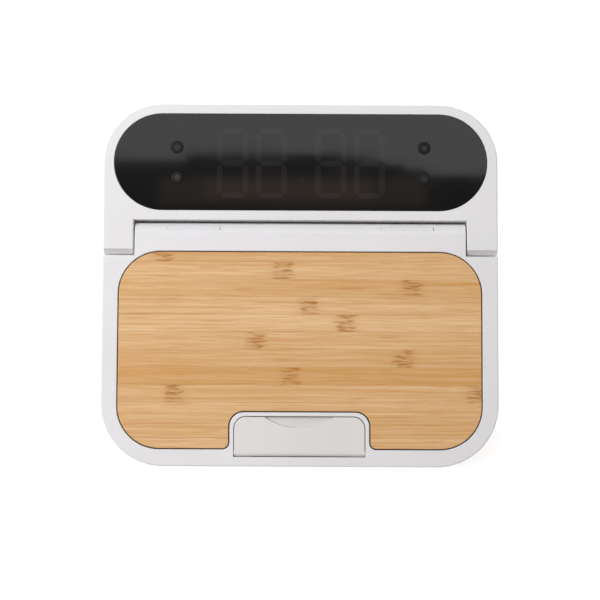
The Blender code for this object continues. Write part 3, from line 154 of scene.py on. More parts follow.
class Nodes:
    """A node tree in the making."""

    def __init__(self, tree: bpy.types.NodeTree) -> None:
        """Keeps the tree."""
        self.tree = tree

    def feed(self, node: bpy.types.Node, inputs: dict) -> None:
        """Sets or links a node's inputs.

        Args:
            node: The node.
            inputs: What each input, by name or number, is set or linked to. A node stands for
                its first output, and a list goes to an input that takes several links.
        """
        for key, value in inputs.items():
            socket = node.inputs[key]
            for source in value if isinstance(value, list) else [value]:
                if isinstance(source, bpy.types.Node):
                    source = source.outputs[0]
                if isinstance(source, bpy.types.NodeSocket):
                    self.tree.links.new(source, socket)
                else:
                    socket.default_value = source

    def add(self, kind: str, inputs: dict | None = None, **settings: Any) -> bpy.types.Node:
        """Adds a node.

        Args:
            kind: The node's type.
            inputs: Its inputs, as feed takes them.
            **settings: The node's own properties.

        Returns:
            The node.
        """
        made = self.tree.nodes.new(kind)
        for name, value in settings.items():
            setattr(made, name, value)
        self.feed(made, inputs or {})
        return made

    def maths(self, operation: str, *values: Source, clamped: bool = False) -> bpy.types.Node:
        """Works one to three values out, and holds the result between 0 and 1 if clamped."""
        inputs = dict(enumerate(values))
        return self.add("ShaderNodeMath", inputs, operation=operation, use_clamp=clamped)

    def axes(self, place: Source) -> bpy.types.NodeOutputs:
        """Takes a point apart into its X, Y and Z."""
        return self.add("ShaderNodeSeparateXYZ", {0: place}).outputs

    def point(self, **axes: Source) -> bpy.types.Node:
        """Makes a point of its X, Y and Z, each 0 if it isn't given."""
        return self.add("ShaderNodeCombineXYZ", axes)


class Shading(Nodes):
    """A new material's nodes round one Principled shader."""

    def __init__(self, name: str) -> None:
        """Makes the material.

        Args:
            name: The material's name.
        """
        self.material = bpy.data.materials.new(name)
        self.material.use_nodes = True
        super().__init__(self.material.node_tree)
        self.place = self.add("ShaderNodeTexCoord").outputs["Object"]

    def noise(self, size: float, detail: float = 2.0) -> bpy.types.Node:
        """Noise with a grain of one size every way, and finer layers in it."""
        inputs = {"Vector": self.place, "Scale": 1 / size, "Detail": detail}
        return self.add("ShaderNodeTexNoise", inputs)

    def drawn(self, length: float, width: float, **inputs: float) -> bpy.types.Node:
        """Noise drawn out along X.

        Args:
            length: Its grain's size along X.
            width: The grain's size across.
            **inputs: Other inputs of the noise.

        Returns:
            The noise.
        """
        scale = (1 / length, 1 / width, 1 / width)
        mapped = self.add("ShaderNodeMapping", {"Vector": self.place, "Scale": scale})
        known = {"Vector": mapped, "Scale": 1.0, "Detail": 3.0}
        return self.add("ShaderNodeTexNoise", {**known, **inputs})

    def ranged(
        self, value: Source, given: Range, wanted: Range, smooth: bool = False
    ) -> bpy.types.Node:
        """Carries a value over from one range to another, held at both ends.

        Args:
            value: The value.
            given: The range that it comes from.
            wanted: The range that it goes to.
            smooth: True if it leaves and arrives gently.

        Returns:
            The node with the new value.
        """
        ends = dict(zip(("From Min", "From Max", "To Min", "To Max"), given + wanted))
        kind = "SMOOTHSTEP" if smooth else "LINEAR"
        return self.add("ShaderNodeMapRange", {"Value": value, **ends}, interpolation_type=kind)

    def mixed(self, factor: Source, first: Source, second: Source) -> bpy.types.NodeSocket:
        """Mixes two colours, from the first at a factor of 0 to the second at 1."""
        inputs = {"Factor": factor, 6: first, 7: second}
        return self.add("ShaderNodeMix", inputs, data_type="RGBA").outputs[2]

    def bump(self, height: Source, relief: float, strength: float) -> bpy.types.Node:
        """Tilts the surface as if it had a relief, as high as relief where height is 1."""
        inputs = {"Height": height, "Distance": relief, "Strength": strength}
        return self.add("ShaderNodeBump", inputs)

    def finished(self, inputs: dict) -> bpy.types.Material:
        """Feeds the shader, with inputs as feed takes them, and gives the material."""
        self.feed(self.tree.nodes["Principled BSDF"], inputs)
        return self.material


@dataclass(frozen=True)
class MouldedPlastic:
    """Injection-moulded plastic from a spark-eroded mould: an even colour whose gloss is broken
    softly by a fine pebble."""

    name: str
    colour: str
    shade: str  # where the melt flowed thinner or has been handled
    roughness: float
    pebble: float = 0.7 * MM  # real pebble is 0.05 mm; drawn coarser, so that it shows
    relief: float = 0.012 * MM
    ior: float = 1.54  # ABS
    flow: float = 55 * MM  # size of the faint drift in tone
    gloss_play: float = 0.05

    def material(self) -> bpy.types.Material:
        """Builds the material.

        Returns:
            The material.
        """
        nodes = Shading(self.name)
        drift = nodes.ranged(nodes.noise(self.flow), MIDDLE_NOISE, (0.0, 1.0))
        pebble = nodes.noise(self.pebble)
        gloss = (self.roughness - self.gloss_play, self.roughness + self.gloss_play)
        return nodes.finished(
            {
                "Base Color": nodes.mixed(drift, linear(self.colour), linear(self.shade)),
                "Roughness": nodes.ranged(pebble, MOST_NOISE, gloss),
                "Normal": nodes.bump(pebble, self.relief, 0.5),
                "IOR": self.ior,
            }
        )


@dataclass(frozen=True)
class Strip:
    """One bamboo strip: its tone from 0, pale, to 1, dark, and the X of its node marks."""

    tone: float
    node: float = 9.0  # far away, so that none shows
    second: float = 9.0


@dataclass(frozen=True)
class LaminatedBamboo:
    """Edge-glued bamboo strips, sanded and matt-lacquered: each strip has its own tone, straight
    fibres along it, and now and then the ragged brown strokes of a node."""

    name: str
    rear: float  # Y of the board's rear edge
    first: float = 5.3 * MM  # visible depth of the rearmost strip
    pitch: float = 9.76 * MM  # a strip's width
    reach: float = 110 * MM  # node places are stored as shares of this, either way
    pale: str = "#EEC693"
    dark: str = "#D8A15C"
    fibre_colour: str = "#C38337"
    node_colour: str = "#AE6C08"
    joint_colour: str = "#B07C40"
    fibre_width: float = 0.5 * MM  # real bundles are 0.3 mm; drawn wider, so that they show
    fibre_length: float = 20 * MM
    fibre_share: Range = (0.46, 0.76)  # noise from which a fibre begins to show and fully does
    fibre_strength: float = 0.6
    band_width: float = 1.6 * MM
    band_length: float = 75 * MM
    band_tone: float = 0.38  # how far a band's tone lies from its strip's, either way
    stroke_width: float = 0.9 * MM  # real strokes are 0.3 mm; drawn wider, so that they show
    stroke_length: float = 7.0 * MM
    stroke_share: Range = (0.40, 0.68)
    stroke_strength: float = 0.72
    node_half: float = 10.5 * MM  # how far from a node its last strokes lie
    node_fade: float = 0.34  # how much noise a stroke needs more, out there
    node_tint: float = 0.12
    joint_share: Range = (0.47, 0.5)  # distance from a strip's middle, in strips
    joint_strength: float = 0.4
    gloss: Range = (0.44, 0.56)
    relief: float = 0.02 * MM
    ior: float = 1.5  # lacquer
    strips: tuple[Strip, ...] = (
        Strip(0.55, -76 * MM),
        Strip(0.35, -10 * MM),
        Strip(0.62, 62.3 * MM),
        Strip(0.38, 5.3 * MM),
        Strip(0.22, 25.3 * MM),
        Strip(0.42, -24 * MM),
        Strip(0.58, 58 * MM),
        Strip(0.85, -4.9 * MM),
        Strip(0.46, -69.2 * MM, 97.8 * MM),
        Strip(0.42),
        Strip(0.58),
        Strip(0.32),
    )

    def material(self) -> bpy.types.Material:
        """Builds the material.

        Returns:
            The material.
        """
        nodes = Shading(self.name)
        axes = nodes.axes(nodes.place)
        start = self.rear + self.pitch - self.first
        strips = nodes.maths("DIVIDE", nodes.maths("SUBTRACT", start, axes["Y"]), self.pitch)
        ramp = nodes.add("ShaderNodeValToRGB", {0: nodes.maths("DIVIDE", strips, len(self.strips))})
        self.fill(ramp.color_ramp)
        kept = nodes.add("ShaderNodeSeparateColor", {0: ramp.outputs["Color"]}).outputs
        fibres = self.grain(nodes, self.fibre_length, self.fibre_width)
        bands = self.grain(nodes, self.band_length, self.band_width)
        shift = nodes.ranged(bands, MOST_NOISE, (-self.band_tone, self.band_tone))
        tone = nodes.maths("ADD", kept["Blue"], shift, clamped=True)
        off = nodes.maths("SUBTRACT", nodes.maths("FRACT", strips), 0.5)
        edge = nodes.maths("ABSOLUTE", off)
        colour = nodes.mixed(tone, linear(self.pale), linear(self.dark))
        for factor, over in (
            (self.shown(nodes, fibres, self.fibre_share, self.fibre_strength), self.fibre_colour),
            (self.node_marks(nodes, axes["X"], kept), self.node_colour),
            (self.shown(nodes, edge, self.joint_share, self.joint_strength), self.joint_colour),
        ):
            colour = nodes.mixed(factor, colour, linear(over))
        return nodes.finished(
            {
                "Base Color": colour,
                "Roughness": nodes.ranged(fibres, MOST_NOISE, self.gloss),
                "Normal": nodes.bump(fibres, self.relief, 0.4),
                "IOR": self.ior,
            }
        )

    def fill(self, ramp: bpy.types.ColorRamp) -> None:
        """Writes each strip's node places and tone into a stepped ramp.

        Args:
            ramp: Its red and green hold the node places, its blue the tone.
        """
        ramp.interpolation = "CONSTANT"
        for number, strip in enumerate(self.strips):
            if number:
                stop = ramp.elements.new(number / len(self.strips))
            else:
                stop = ramp.elements[0]
                stop.position = 0.0
            places = [(x / self.reach + 1) / 2 for x in (strip.node, strip.second)]
            stop.color = (*places, strip.tone, 1.0)
        ramp.elements.remove(ramp.elements[-1])

    def grain(self, nodes: Shading, length: float, width: float) -> bpy.types.Node:
        """Noise along the grain, which wavers a little."""
        return nodes.drawn(length, width, Roughness=0.55, Distortion=0.3)

    def shown(self, nodes: Shading, value: Source, share: Range, most: float) -> bpy.types.Node:
        """How strongly a value shows, from 0 to the most, as it goes through a range."""
        return nodes.ranged(value, share, (0.0, most), smooth=True)

    def node_marks(
        self, nodes: Shading, x: bpy.types.NodeSocket, kept: bpy.types.NodeOutputs
    ) -> bpy.types.Node:
        """How strongly each point belongs to the strokes of a node.

        Args:
            nodes: The material's nodes.
            x: The point's X.
            kept: The strip's node places, as red and green.

        Returns:
            A node with a factor.
        """
        near = []
        for channel in ("Red", "Green"):
            node_x = nodes.maths("MULTIPLY_ADD", kept[channel], 2 * self.reach, -self.reach)
            far = nodes.maths("ABSOLUTE", nodes.maths("SUBTRACT", x, node_x))
            near.append(self.shown(nodes, far, (self.node_half, self.node_half / 4), 1.0))
        either = nodes.maths("MAXIMUM", *near)
        strokes = nodes.drawn(
            self.stroke_length, self.stroke_width, Detail=2.0, Roughness=0.55, Distortion=0.1
        )
        sunk = nodes.maths("MULTIPLY_ADD", either, self.node_fade, -self.node_fade)
        reached = nodes.maths("ADD", strokes, sunk)
        ragged = self.shown(nodes, reached, self.stroke_share, self.stroke_strength)
        return nodes.maths("ADD", ragged, nodes.maths("MULTIPLY", either, self.node_tint))


@dataclass(frozen=True)
class SmokedAcrylic:
    """Polished smoked acrylic sheet: nearly black, with a soft mirror gloss on which the hand
    leaves faint smears."""

    name: str
    colour: str
    smeared: str
    roughness: float = 0.045
    dulled: float = 0.02  # how much rougher a smear is
    ior: float = 1.49  # acrylic
    smear: float = 30 * MM

    def material(self) -> bpy.types.Material:
        """Builds the material.

        Returns:
            The material.
        """
        nodes = Shading(self.name)
        smear = nodes.noise(self.smear, 3.0)
        gloss = (self.roughness, self.roughness + self.dulled)
        return nodes.finished(
            {
                "Base Color": nodes.mixed(smear, linear(self.colour), linear(self.smeared)),
                "Roughness": nodes.ranged(smear, MIDDLE_NOISE, gloss),
                "IOR": self.ior,
            }
        )


@dataclass(frozen=True)
class WorkedMetal:
    """Metal with the marks of its making, drawn out one way: plated wire and pressed steel are
    nearly smooth, and milled aluminium keeps the cutter's fine lines."""

    name: str
    colour: str
    roughness: float
    line: float = 0.4 * MM
    length: float = 12 * MM
    relief: float = 0.01 * MM
    polished: float = 0.08  # how much smoother the smoothest lines are
    scored: float = 0.10  # how much rougher the roughest are

    def material(self) -> bpy.types.Material:
        """Builds the material.

        Returns:
            The material.
        """
        nodes = Shading(self.name)
        lines = nodes.drawn(self.length, self.line)
        gloss = (self.roughness - self.polished, self.roughness + self.scored)
        return nodes.finished(
            {
                "Base Color": linear(self.colour),
                "Metallic": 1.0,
                "Roughness": nodes.ranged(lines, MOST_NOISE, gloss),
                "Normal": nodes.bump(lines, self.relief, 0.4),
            }
        )


@dataclass(frozen=True)
class SolderMask:
    """Glass-fibre board under green solder mask: the weave shows faintly, and copper tracks
    read as paler bands."""

    name: str
    colour: str = "#1E6B3C"
    track: str = "#3C8F58"
    pitch: float = 2.54 * MM
    weave: float = 0.8 * MM
    relief: float = 0.01 * MM
    roughness: float = 0.38

    def material(self) -> bpy.types.Material:
        """Builds the material.

        Returns:
            The material.
        """
        nodes = Shading(self.name)
        tracks = nodes.add(
            "ShaderNodeTexBrick",
            {
                "Vector": nodes.place,
                "Color1": linear(self.colour),
                "Color2": linear(self.colour),
                "Mortar": linear(self.track),
                "Scale": 1 / self.pitch,
                "Mortar Size": 0.12,
                "Brick Width": 3.0,
                "Row Height": 1.0,
            },
        )
        return nodes.finished(
            {
                "Base Color": tracks.outputs["Color"],
                "Roughness": self.roughness,
                "Normal": nodes.bump(nodes.noise(self.weave), self.relief, 0.4),
            }
        )


@dataclass(frozen=True)
class PrintedWrap:
    """Shrink sleeve printed in bands round a cell: satin film, copper at the positive end."""

    name: str
    low: float  # X of the cells' ends
    high: float
    band: str = "#B5703A"
    body: str = "#23262B"
    band_share: float = 0.26  # of the cell's length
    film: float = 3 * MM
    relief: float = 0.02 * MM
    roughness: float = 0.3

    def material(self) -> bpy.types.Material:
        """Builds the material.

        Returns:
            The material.
        """
        nodes = Shading(self.name)
        share = nodes.ranged(nodes.axes(nodes.place)["X"], (self.low, self.high), (0.0, 1.0))
        ramp = nodes.add("ShaderNodeValToRGB", {0: share})
        ramp.color_ramp.interpolation = "CONSTANT"
        band, body = ramp.color_ramp.elements
        band.color = linear(self.band)
        body.position = self.band_share
        body.color = linear(self.body)
        return nodes.finished(
            {
                "Base Color": ramp.outputs["Color"],
                "Roughness": self.roughness,
                "Normal": nodes.bump(nodes.noise(self.film), self.relief, 0.3),
            }
        )


# Shapes


def rounded(corners: Corners, steps: int = ARC_STEPS) -> list[Vector]:
    """The points of a closed outline, its round corners as arcs of a fixed number of facets.

    Args:
        corners: Each corner's place and radius.
        steps: Facets on each round corner.

    Returns:
        The points in order.
    """
    points = []
    for index, (x, y, radius) in enumerate(corners):
        corner = Vector((x, y))
        if not radius:
            points.append(corner)
            continue
        before = (Vector(corners[index - 1][:2]) - corner).normalized()
        after = (Vector(corners[(index + 1) % len(corners)][:2]) - corner).normalized()
        half = before.angle(after) / 2
        centre = corner + (before + after).normalized() * radius / math.sin(half)
        start = corner + before * radius / math.tan(half) - centre
        end = corner + after * radius / math.tan(half) - centre
        turn = math.atan2(start.cross(end), start.dot(end))
        first = math.atan2(start.y, start.x)
        for step in range(steps + 1):
            angle = first + turn * step / steps
            points.append(centre + radius * Vector((math.cos(angle), math.sin(angle))))
    return [p for n, p in enumerate(points) if (p - points[n - 1]).length > MERGE_DISTANCE]


def side_run(low: float, high: float, bottom: float, top: float) -> list[tuple[float, float]]:
    """How a slab's side runs from one flat face to the other.

    Args:
        low: Where the lower face lies.
        high: Where the upper face lies.
        bottom: Radius of the lower edge. One below zero flares out instead, past the face, for
            a cutter that softens the edge that it leaves.
        top: The same for the upper edge.

    Returns:
        Pairs of how far the outline grows and at what height.
    """
    turns = [math.pi / 2 * step / EDGE_STEPS for step in range(EDGE_STEPS + 1)]
    run = []
    if bottom < 0:
        run.append((-bottom, low - CUT_PAST))
        run += [(-bottom * (1 - math.cos(a)), low - bottom * (1 - math.sin(a))) for a in turns[::-1]]
    elif bottom > 0:
        run += [(-bottom * (1 - math.sin(a)), low + bottom * (1 - math.cos(a))) for a in turns]
    else:
        run.append((0.0, low))
    if top < 0:
        run += [(-top * (1 - math.cos(a)), high + top * (1 - math.sin(a))) for a in turns]
        run.append((-top, high + CUT_PAST))
    elif top > 0:
        run += [(-top * (1 - math.cos(a)), high - top * (1 - math.sin(a))) for a in turns]
    else:
        run.append((0.0, high))
    return run


def keep(name: str, builder: bmesh.types.BMesh) -> bpy.types.Object:
    """Makes an object of a bmesh, its faces turned outwards.

    Args:
        name: The object's name.
        builder: The mesh in the making, which is freed.

    Returns:
        The object, linked to the scene.
    """
    bmesh.ops.recalc_face_normals(builder, faces=builder.faces)
    mesh = bpy.data.meshes.new(name)
    builder.to_mesh(mesh)
    builder.free()
    made = bpy.data.objects.new(name, mesh)
    bpy.context.scene.collection.objects.link(made)
    return made


def loft(name: str, layers: Sequence[list[Vector]]) -> bpy.types.Object:
    """A closed body through outlines with the same number of points.

    Args:
        name: The object's name.
        layers: The outlines, as points in space, from one end to the other.

    Returns:
        The body.
    """
    builder = bmesh.new()
    rings = [[builder.verts.new([round(c, 7) for c in point]) for point in layer] for layer in layers]
    for lower, upper in zip(rings, rings[1:]):
        for index in range(len(lower)):
            last = index - 1
            builder.faces.new((lower[last], lower[index], upper[index], upper[last]))
    builder.faces.new(rings[0])
    builder.faces.new(rings[-1])
    return keep(name, builder)


def slab(
    name: str,
    plan: Plan,
    low: float,
    high: float,
    bottom: float = 0.0,
    top: float = 0.0,
    axis: Axis = Axis.UP,
) -> bpy.types.Object:
    """An outline with a thickness and softened edges.

    Args:
        name: The object's name.
        plan: Gives the outline's corners, grown by an offset.
        low: Where the lower face lies.
        high: Where the upper face lies.
        bottom: The lower edge, as side_run takes it.
        top: The upper edge.
        axis: Which way it is extruded.

    Returns:
        The body.
    """
    layers = [
        [axis.point(point.x, point.y, height) for point in rounded(plan(grow))]
        for grow, height in side_run(low, high, bottom, top)
    ]
    return loft(name, layers)


def block(name: str, low: Sequence[float], high: Sequence[float]) -> bpy.types.Object:
    """A plain box, for cutting or joining.

    Args:
        name: The object's name.
        low: Its low corner.
        high: Its high corner.

    Returns:
        The body.
    """
    corners = [
        (low[0], low[1], 0),
        (high[0], low[1], 0),
        (high[0], high[1], 0),
        (low[0], high[1], 0),
    ]
    return slab(name, lambda grow: corners, low[2], high[2])


def turned(
    name: str,
    profile: Corners,
    centre: Vector,
    along: Vector = Vector((0, 0, 1)),
    segments: int = 48,
) -> bpy.types.Object:
    """A shape turned round an axis.

    Args:
        name: The object's name.
        profile: Corners (radius, height, fillet) from one end of the axis to the other; the
            first and last lie on the axis.
        centre: Where height zero lies on the axis.
        along: The axis, towards greater height.
        segments: Facets round it.

    Returns:
        The body.
    """
    builder = bmesh.new()
    turn = Vector((0, 0, 1)).rotation_difference(along).to_matrix().to_4x4()
    frame = Matrix.Translation(centre) @ turn
    rings = []
    for point in rounded(profile, EDGE_STEPS):
        if point.x < MERGE_DISTANCE:
            rings.append([builder.verts.new(frame @ Vector((0, 0, point.y)))])
            continue
        angles = [math.tau * step / segments for step in range(segments)]
        rings.append(
            [
                builder.verts.new(
                    frame @ Vector((point.x * math.cos(a), point.x * math.sin(a), point.y))
                )
                for a in angles
            ]
        )
    for lower, upper in zip(rings, rings[1:]):
        for index in range(segments):
            corners = [lower[index - 1], lower[index]] if len(lower) > 1 else lower[:]
            corners += [upper[index], upper[index - 1]] if len(upper) > 1 else upper[:]
            builder.faces.new(corners)
    return keep(name, builder)


def rod(
    name: str, centre: Sequence[float], radius: float, length: float, along: str = "Z"
) -> bpy.types.Object:
    """A plain cylinder centred on a point, for cutting or joining.

    Args:
        name: The object's name.
        centre: Its middle.
        radius: Its radius.
        length: Its length.
        along: X, Y or Z.

    Returns:
        The body.
    """
    axis = Vector([float(letter == along) for letter in "XYZ"])
    half = length / 2
    profile = [(0, -half, 0), (radius, -half, 0), (radius, half, 0), (0, half, 0)]
    return turned(name, profile, Vector(centre), axis)


def upright(
    name: str, at: Sequence[float], low: float, high: float, radius: float
) -> bpy.types.Object:
    """A rod along Z through a point, between two heights."""
    return rod(name, (at[0], at[1], (low + high) / 2), radius, high - low)


def ribbon(
    builder: bmesh.types.BMesh,
    points: Sequence[Vector],
    width: float,
    low: float,
    high: float,
    closed: bool = False,
) -> None:
    """Adds a flat stroke with a thickness.

    Args:
        builder: The mesh that gets it.
        points: The stroke's middle line, in X and Y.
        width: The stroke's width.
        low: Its underside.
        high: Its upper side.
        closed: True if the stroke comes back to its start.
    """
    rows = []
    count = len(points)
    for index, point in enumerate(points):
        before = points[index - 1] if index or closed else point
        after = points[(index + 1) % count] if index + 1 < count or closed else point
        run = (after - before).normalized()
        side = Vector((-run.y, run.x)) * width / 2
        flat = [(point + side, low), (point - side, low), (point - side, high), (point + side, high)]
        rows.append([builder.verts.new((place.x, place.y, height)) for place, height in flat])
    pairs = list(zip(rows, rows[1:])) + ([(rows[-1], rows[0])] if closed else [])
    for first, second in pairs:
        for index in range(4):
            last = index - 1
            builder.faces.new((first[last], first[index], second[index], second[last]))
    if not closed:
        builder.faces.new(rows[0])
        builder.faces.new(rows[-1])


def arc(centre: Vector, radius: float, start: float, turn: float, steps: int = 24) -> list[Vector]:
    """Points along an arc.

    Args:
        centre: The arc's centre.
        radius: Its radius.
        start: The angle that it starts at, in degrees.
        turn: How far it turns; a full circle leaves out its last point.
        steps: How many stretches it has.

    Returns:
        The points in order.
    """
    angles = [math.radians(start + turn * step / steps) for step in range(steps + 1)]
    points = [centre + radius * Vector((math.cos(a), math.sin(a))) for a in angles]
    return points[:-1] if abs(turn) == 360 else points


def evaluated(piece: bpy.types.Object) -> None:
    """Puts a piece's evaluated mesh in place of its own, and removes its modifiers.

    Args:
        piece: The piece.
    """
    bpy.context.view_layer.update()
    graph = bpy.context.evaluated_depsgraph_get()
    mesh = bpy.data.meshes.new_from_object(piece.evaluated_get(graph), depsgraph=graph)
    piece.modifiers.clear()
    piece.data = mesh


def shade(piece: bpy.types.Object) -> bpy.types.Object:
    """Merges doubles, shades round faces smooth, and keeps flat ones flat up to their edges.

    Args:
        piece: The piece.

    Returns:
        The same piece.
    """
    builder = bmesh.new()
    builder.from_mesh(piece.data)
    bmesh.ops.remove_doubles(builder, verts=builder.verts, dist=MERGE_DISTANCE)
    builder.to_mesh(piece.data)
    builder.free()
    piece.data.shade_smooth()
    piece.data.set_sharp_from_angle(angle=SHARP_ANGLE)
    weighted = piece.modifiers.new("flat_faces", "WEIGHTED_NORMAL")
    weighted.keep_sharp = True
    weighted.weight = FLAT_FACES
    evaluated(piece)
    return piece


class Workpiece:
    """A body in the making, to which helpers are joined and from which they are cut."""

    def __init__(self, body: bpy.types.Object) -> None:
        """Starts from a body."""
        self.body = body
        self.helpers: list[bpy.types.Object] = []

    def combine(self, operation: str, helpers: Sequence[bpy.types.Object]) -> Workpiece:
        """Adds a Boolean for each helper.

        Args:
            operation: UNION or DIFFERENCE.
            helpers: The helper bodies, in order.

        Returns:
            This workpiece.
        """
        for helper in helpers:
            boolean = self.body.modifiers.new(helper.name, "BOOLEAN")
            boolean.operation = operation
            boolean.solver = "EXACT"
            boolean.object = helper
            self.helpers.append(helper)
        return self

    def join(self, *helpers: bpy.types.Object) -> Workpiece:
        """Joins helpers on."""
        return self.combine("UNION", helpers)

    def cut(self, *helpers: bpy.types.Object) -> Workpiece:
        """Cuts helpers out."""
        return self.combine("DIFFERENCE", helpers)

    def finished(self) -> bpy.types.Object:
        """Applies everything and removes the helpers.

        Returns:
            The shaded body.
        """
        evaluated(self.body)
        for helper in self.helpers:
            bpy.data.objects.remove(helper, do_unlink=True)
        return shade(self.body)


# Geometry Nodes


class Growth(Nodes):
    """A Geometry Nodes tree with named sizes, ending in Realize Instances and Set Material."""

    def __init__(self, name: str, sizes: dict[str, float | Vector]) -> None:
        """Makes the tree's sockets.

        Args:
            name: The name of the object that it grows.
            sizes: Each size's name and value, a length or a point.
        """
        super().__init__(bpy.data.node_groups.new(name + "_tree", "GeometryNodeTree"))
        self.name = name
        self.sizes = sizes
        sockets = self.tree.interface
        sockets.new_socket("Places", in_out="INPUT", socket_type="NodeSocketGeometry")
        for size, value in sizes.items():
            kind = "NodeSocketVector" if isinstance(value, Vector) else "NodeSocketFloat"
            sockets.new_socket(size, in_out="INPUT", socket_type=kind)
        sockets.new_socket("Material", in_out="INPUT", socket_type="NodeSocketMaterial")
        sockets.new_socket("Geometry", in_out="OUTPUT", socket_type="NodeSocketGeometry")
        self.given = self.add("NodeGroupInput").outputs

    def cylinder(
        self, vertices: int, radius: Source, depth: Source, rows: int = 1, rings: int = 1
    ) -> bpy.types.Node:
        """A cylinder round the origin.

        Args:
            vertices: Facets round it.
            radius: Its radius.
            depth: Its height.
            rows: Rows of faces up its side.
            rings: Rings of faces on each end.

        Returns:
            The cylinder.
        """
        counts = {"Vertices": vertices, "Side Segments": rows, "Fill Segments": rings}
        sizes = {"Radius": radius, "Depth": depth}
        return self.add("GeometryNodeMeshCylinder", {**counts, **sizes})

    def moved(self, shape: Source, **how: Source) -> bpy.types.Node:
        """A shape after a Translation, a Rotation or both."""
        return self.add("GeometryNodeTransform", {"Geometry": shape, **how})

    def without(self, whole: Source, cutters: Source) -> bpy.types.Node:
        """A shape with others cut out of it."""
        inputs = {"Mesh 1": whole, "Mesh 2": cutters}
        return self.add("GeometryNodeMeshBoolean", inputs, operation="DIFFERENCE", solver="EXACT")

    def spread(self, shape: Source) -> bpy.types.Node:
        """A shape at each of the tree's places."""
        inputs = {"Points": self.given["Places"], "Instance": shape}
        return self.add("GeometryNodeInstanceOnPoints", inputs)

    def from_axis(self) -> bpy.types.NodeSocket:
        """How far a point is from the Z axis.

        Returns:
            The output with the distance.
        """
        place = self.add("GeometryNodeInputPosition")
        flat = self.add("ShaderNodeVectorMath", {0: place, 1: (1, 1, 0)}, operation="MULTIPLY")
        return self.add("ShaderNodeVectorMath", {0: flat}, operation="LENGTH").outputs["Value"]

    def lifted(self, shape: Source, lift: Source) -> bpy.types.Node:
        """A shape whose points below zero have moved up.

        Args:
            shape: The shape.
            lift: How far each point moves.

        Returns:
            The changed shape.
        """
        height = self.axes(self.add("GeometryNodeInputPosition"))["Z"]
        under = self.maths("LESS_THAN", height, 0.0)
        inputs = {"Geometry": shape, "Selection": under, "Offset": self.point(Z=lift)}
        return self.add("GeometryNodeSetPosition", inputs)

    def grown(
        self, shape: Source, places: Sequence[Sequence[float]], material: bpy.types.Material
    ) -> bpy.types.Object:
        """Closes the tree and grows a plain mesh with it.

        Args:
            shape: The tree's last node.
            places: Points that the tree starts from.
            material: What the mesh is made of.

        Returns:
            The object, with no modifier left.
        """
        real = self.add("GeometryNodeRealizeInstances", {"Geometry": shape})
        inputs = {"Geometry": real, "Material": self.given["Material"]}
        dressed = self.add("GeometryNodeSetMaterial", inputs)
        self.add("NodeGroupOutput", {"Geometry": dressed})
        mesh = bpy.data.meshes.new(self.name)
        mesh.from_pydata([tuple(place) for place in places], [], [])
        made = bpy.data.objects.new(self.name, mesh)
        bpy.context.scene.collection.objects.link(made)
        grow = made.modifiers.new("grow", "NODES")
        grow.node_group = self.tree
        values = {**self.sizes, "Material": material}
        for item in self.tree.interface.items_tree:
            if item.name in values:
                grow[item.identifier] = values[item.name]
        evaluated(made)
        return shade(made)


def grow(
    name: str,
    shape: Callable[[Growth], bpy.types.Node],
    places: Sequence[Sequence[float]],
    material: bpy.types.Material,
    **sizes: float | Vector,
) -> bpy.types.Object:
    """Grows a mesh with a tree of its own.

    Args:
        name: The object's name.
        shape: Adds the nodes, and gives the last one.
        places: Points that the tree starts from.
        material: What the mesh is made of.
        **sizes: What the shape takes.

    Returns:
        The object, with no modifier left.
    """
    tree = Growth(name, sizes)
    return tree.grown(shape(tree), places, material)


def feet(tree: Growth) -> bpy.types.Node:
    """Round rubber feet with a chamfered rim and ring grooves underneath.

    Args:
        tree: Its sizes are Radius, Height, Groove_Pitch, Groove_Depth and Chamfer.

    Returns:
        The feet as one mesh.
    """
    given = tree.given
    puck = tree.cylinder(64, given["Radius"], given["Height"], rings=24)
    radius = tree.from_axis()
    turns = tree.maths("DIVIDE", radius, given["Groove_Pitch"])
    wave = tree.maths("COSINE", tree.maths("MULTIPLY", turns, math.tau))
    depth = tree.maths("MULTIPLY", given["Groove_Depth"], 0.5)
    groove = tree.maths("MULTIPLY", tree.maths("SUBTRACT", 1.0, wave), depth)
    rim = tree.maths("SUBTRACT", given["Radius"], given["Chamfer"])
    inside = tree.maths("LESS_THAN", radius, tree.maths("SUBTRACT", rim, given["Chamfer"]))
    chamfer = tree.maths("MAXIMUM", tree.maths("SUBTRACT", radius, rim), 0.0)
    shaped = tree.lifted(puck, tree.maths("MULTIPLY_ADD", groove, inside, chamfer))
    half = tree.point(Z=tree.maths("MULTIPLY", given["Height"], 0.5))
    return tree.spread(tree.moved(shaped, Translation=half))


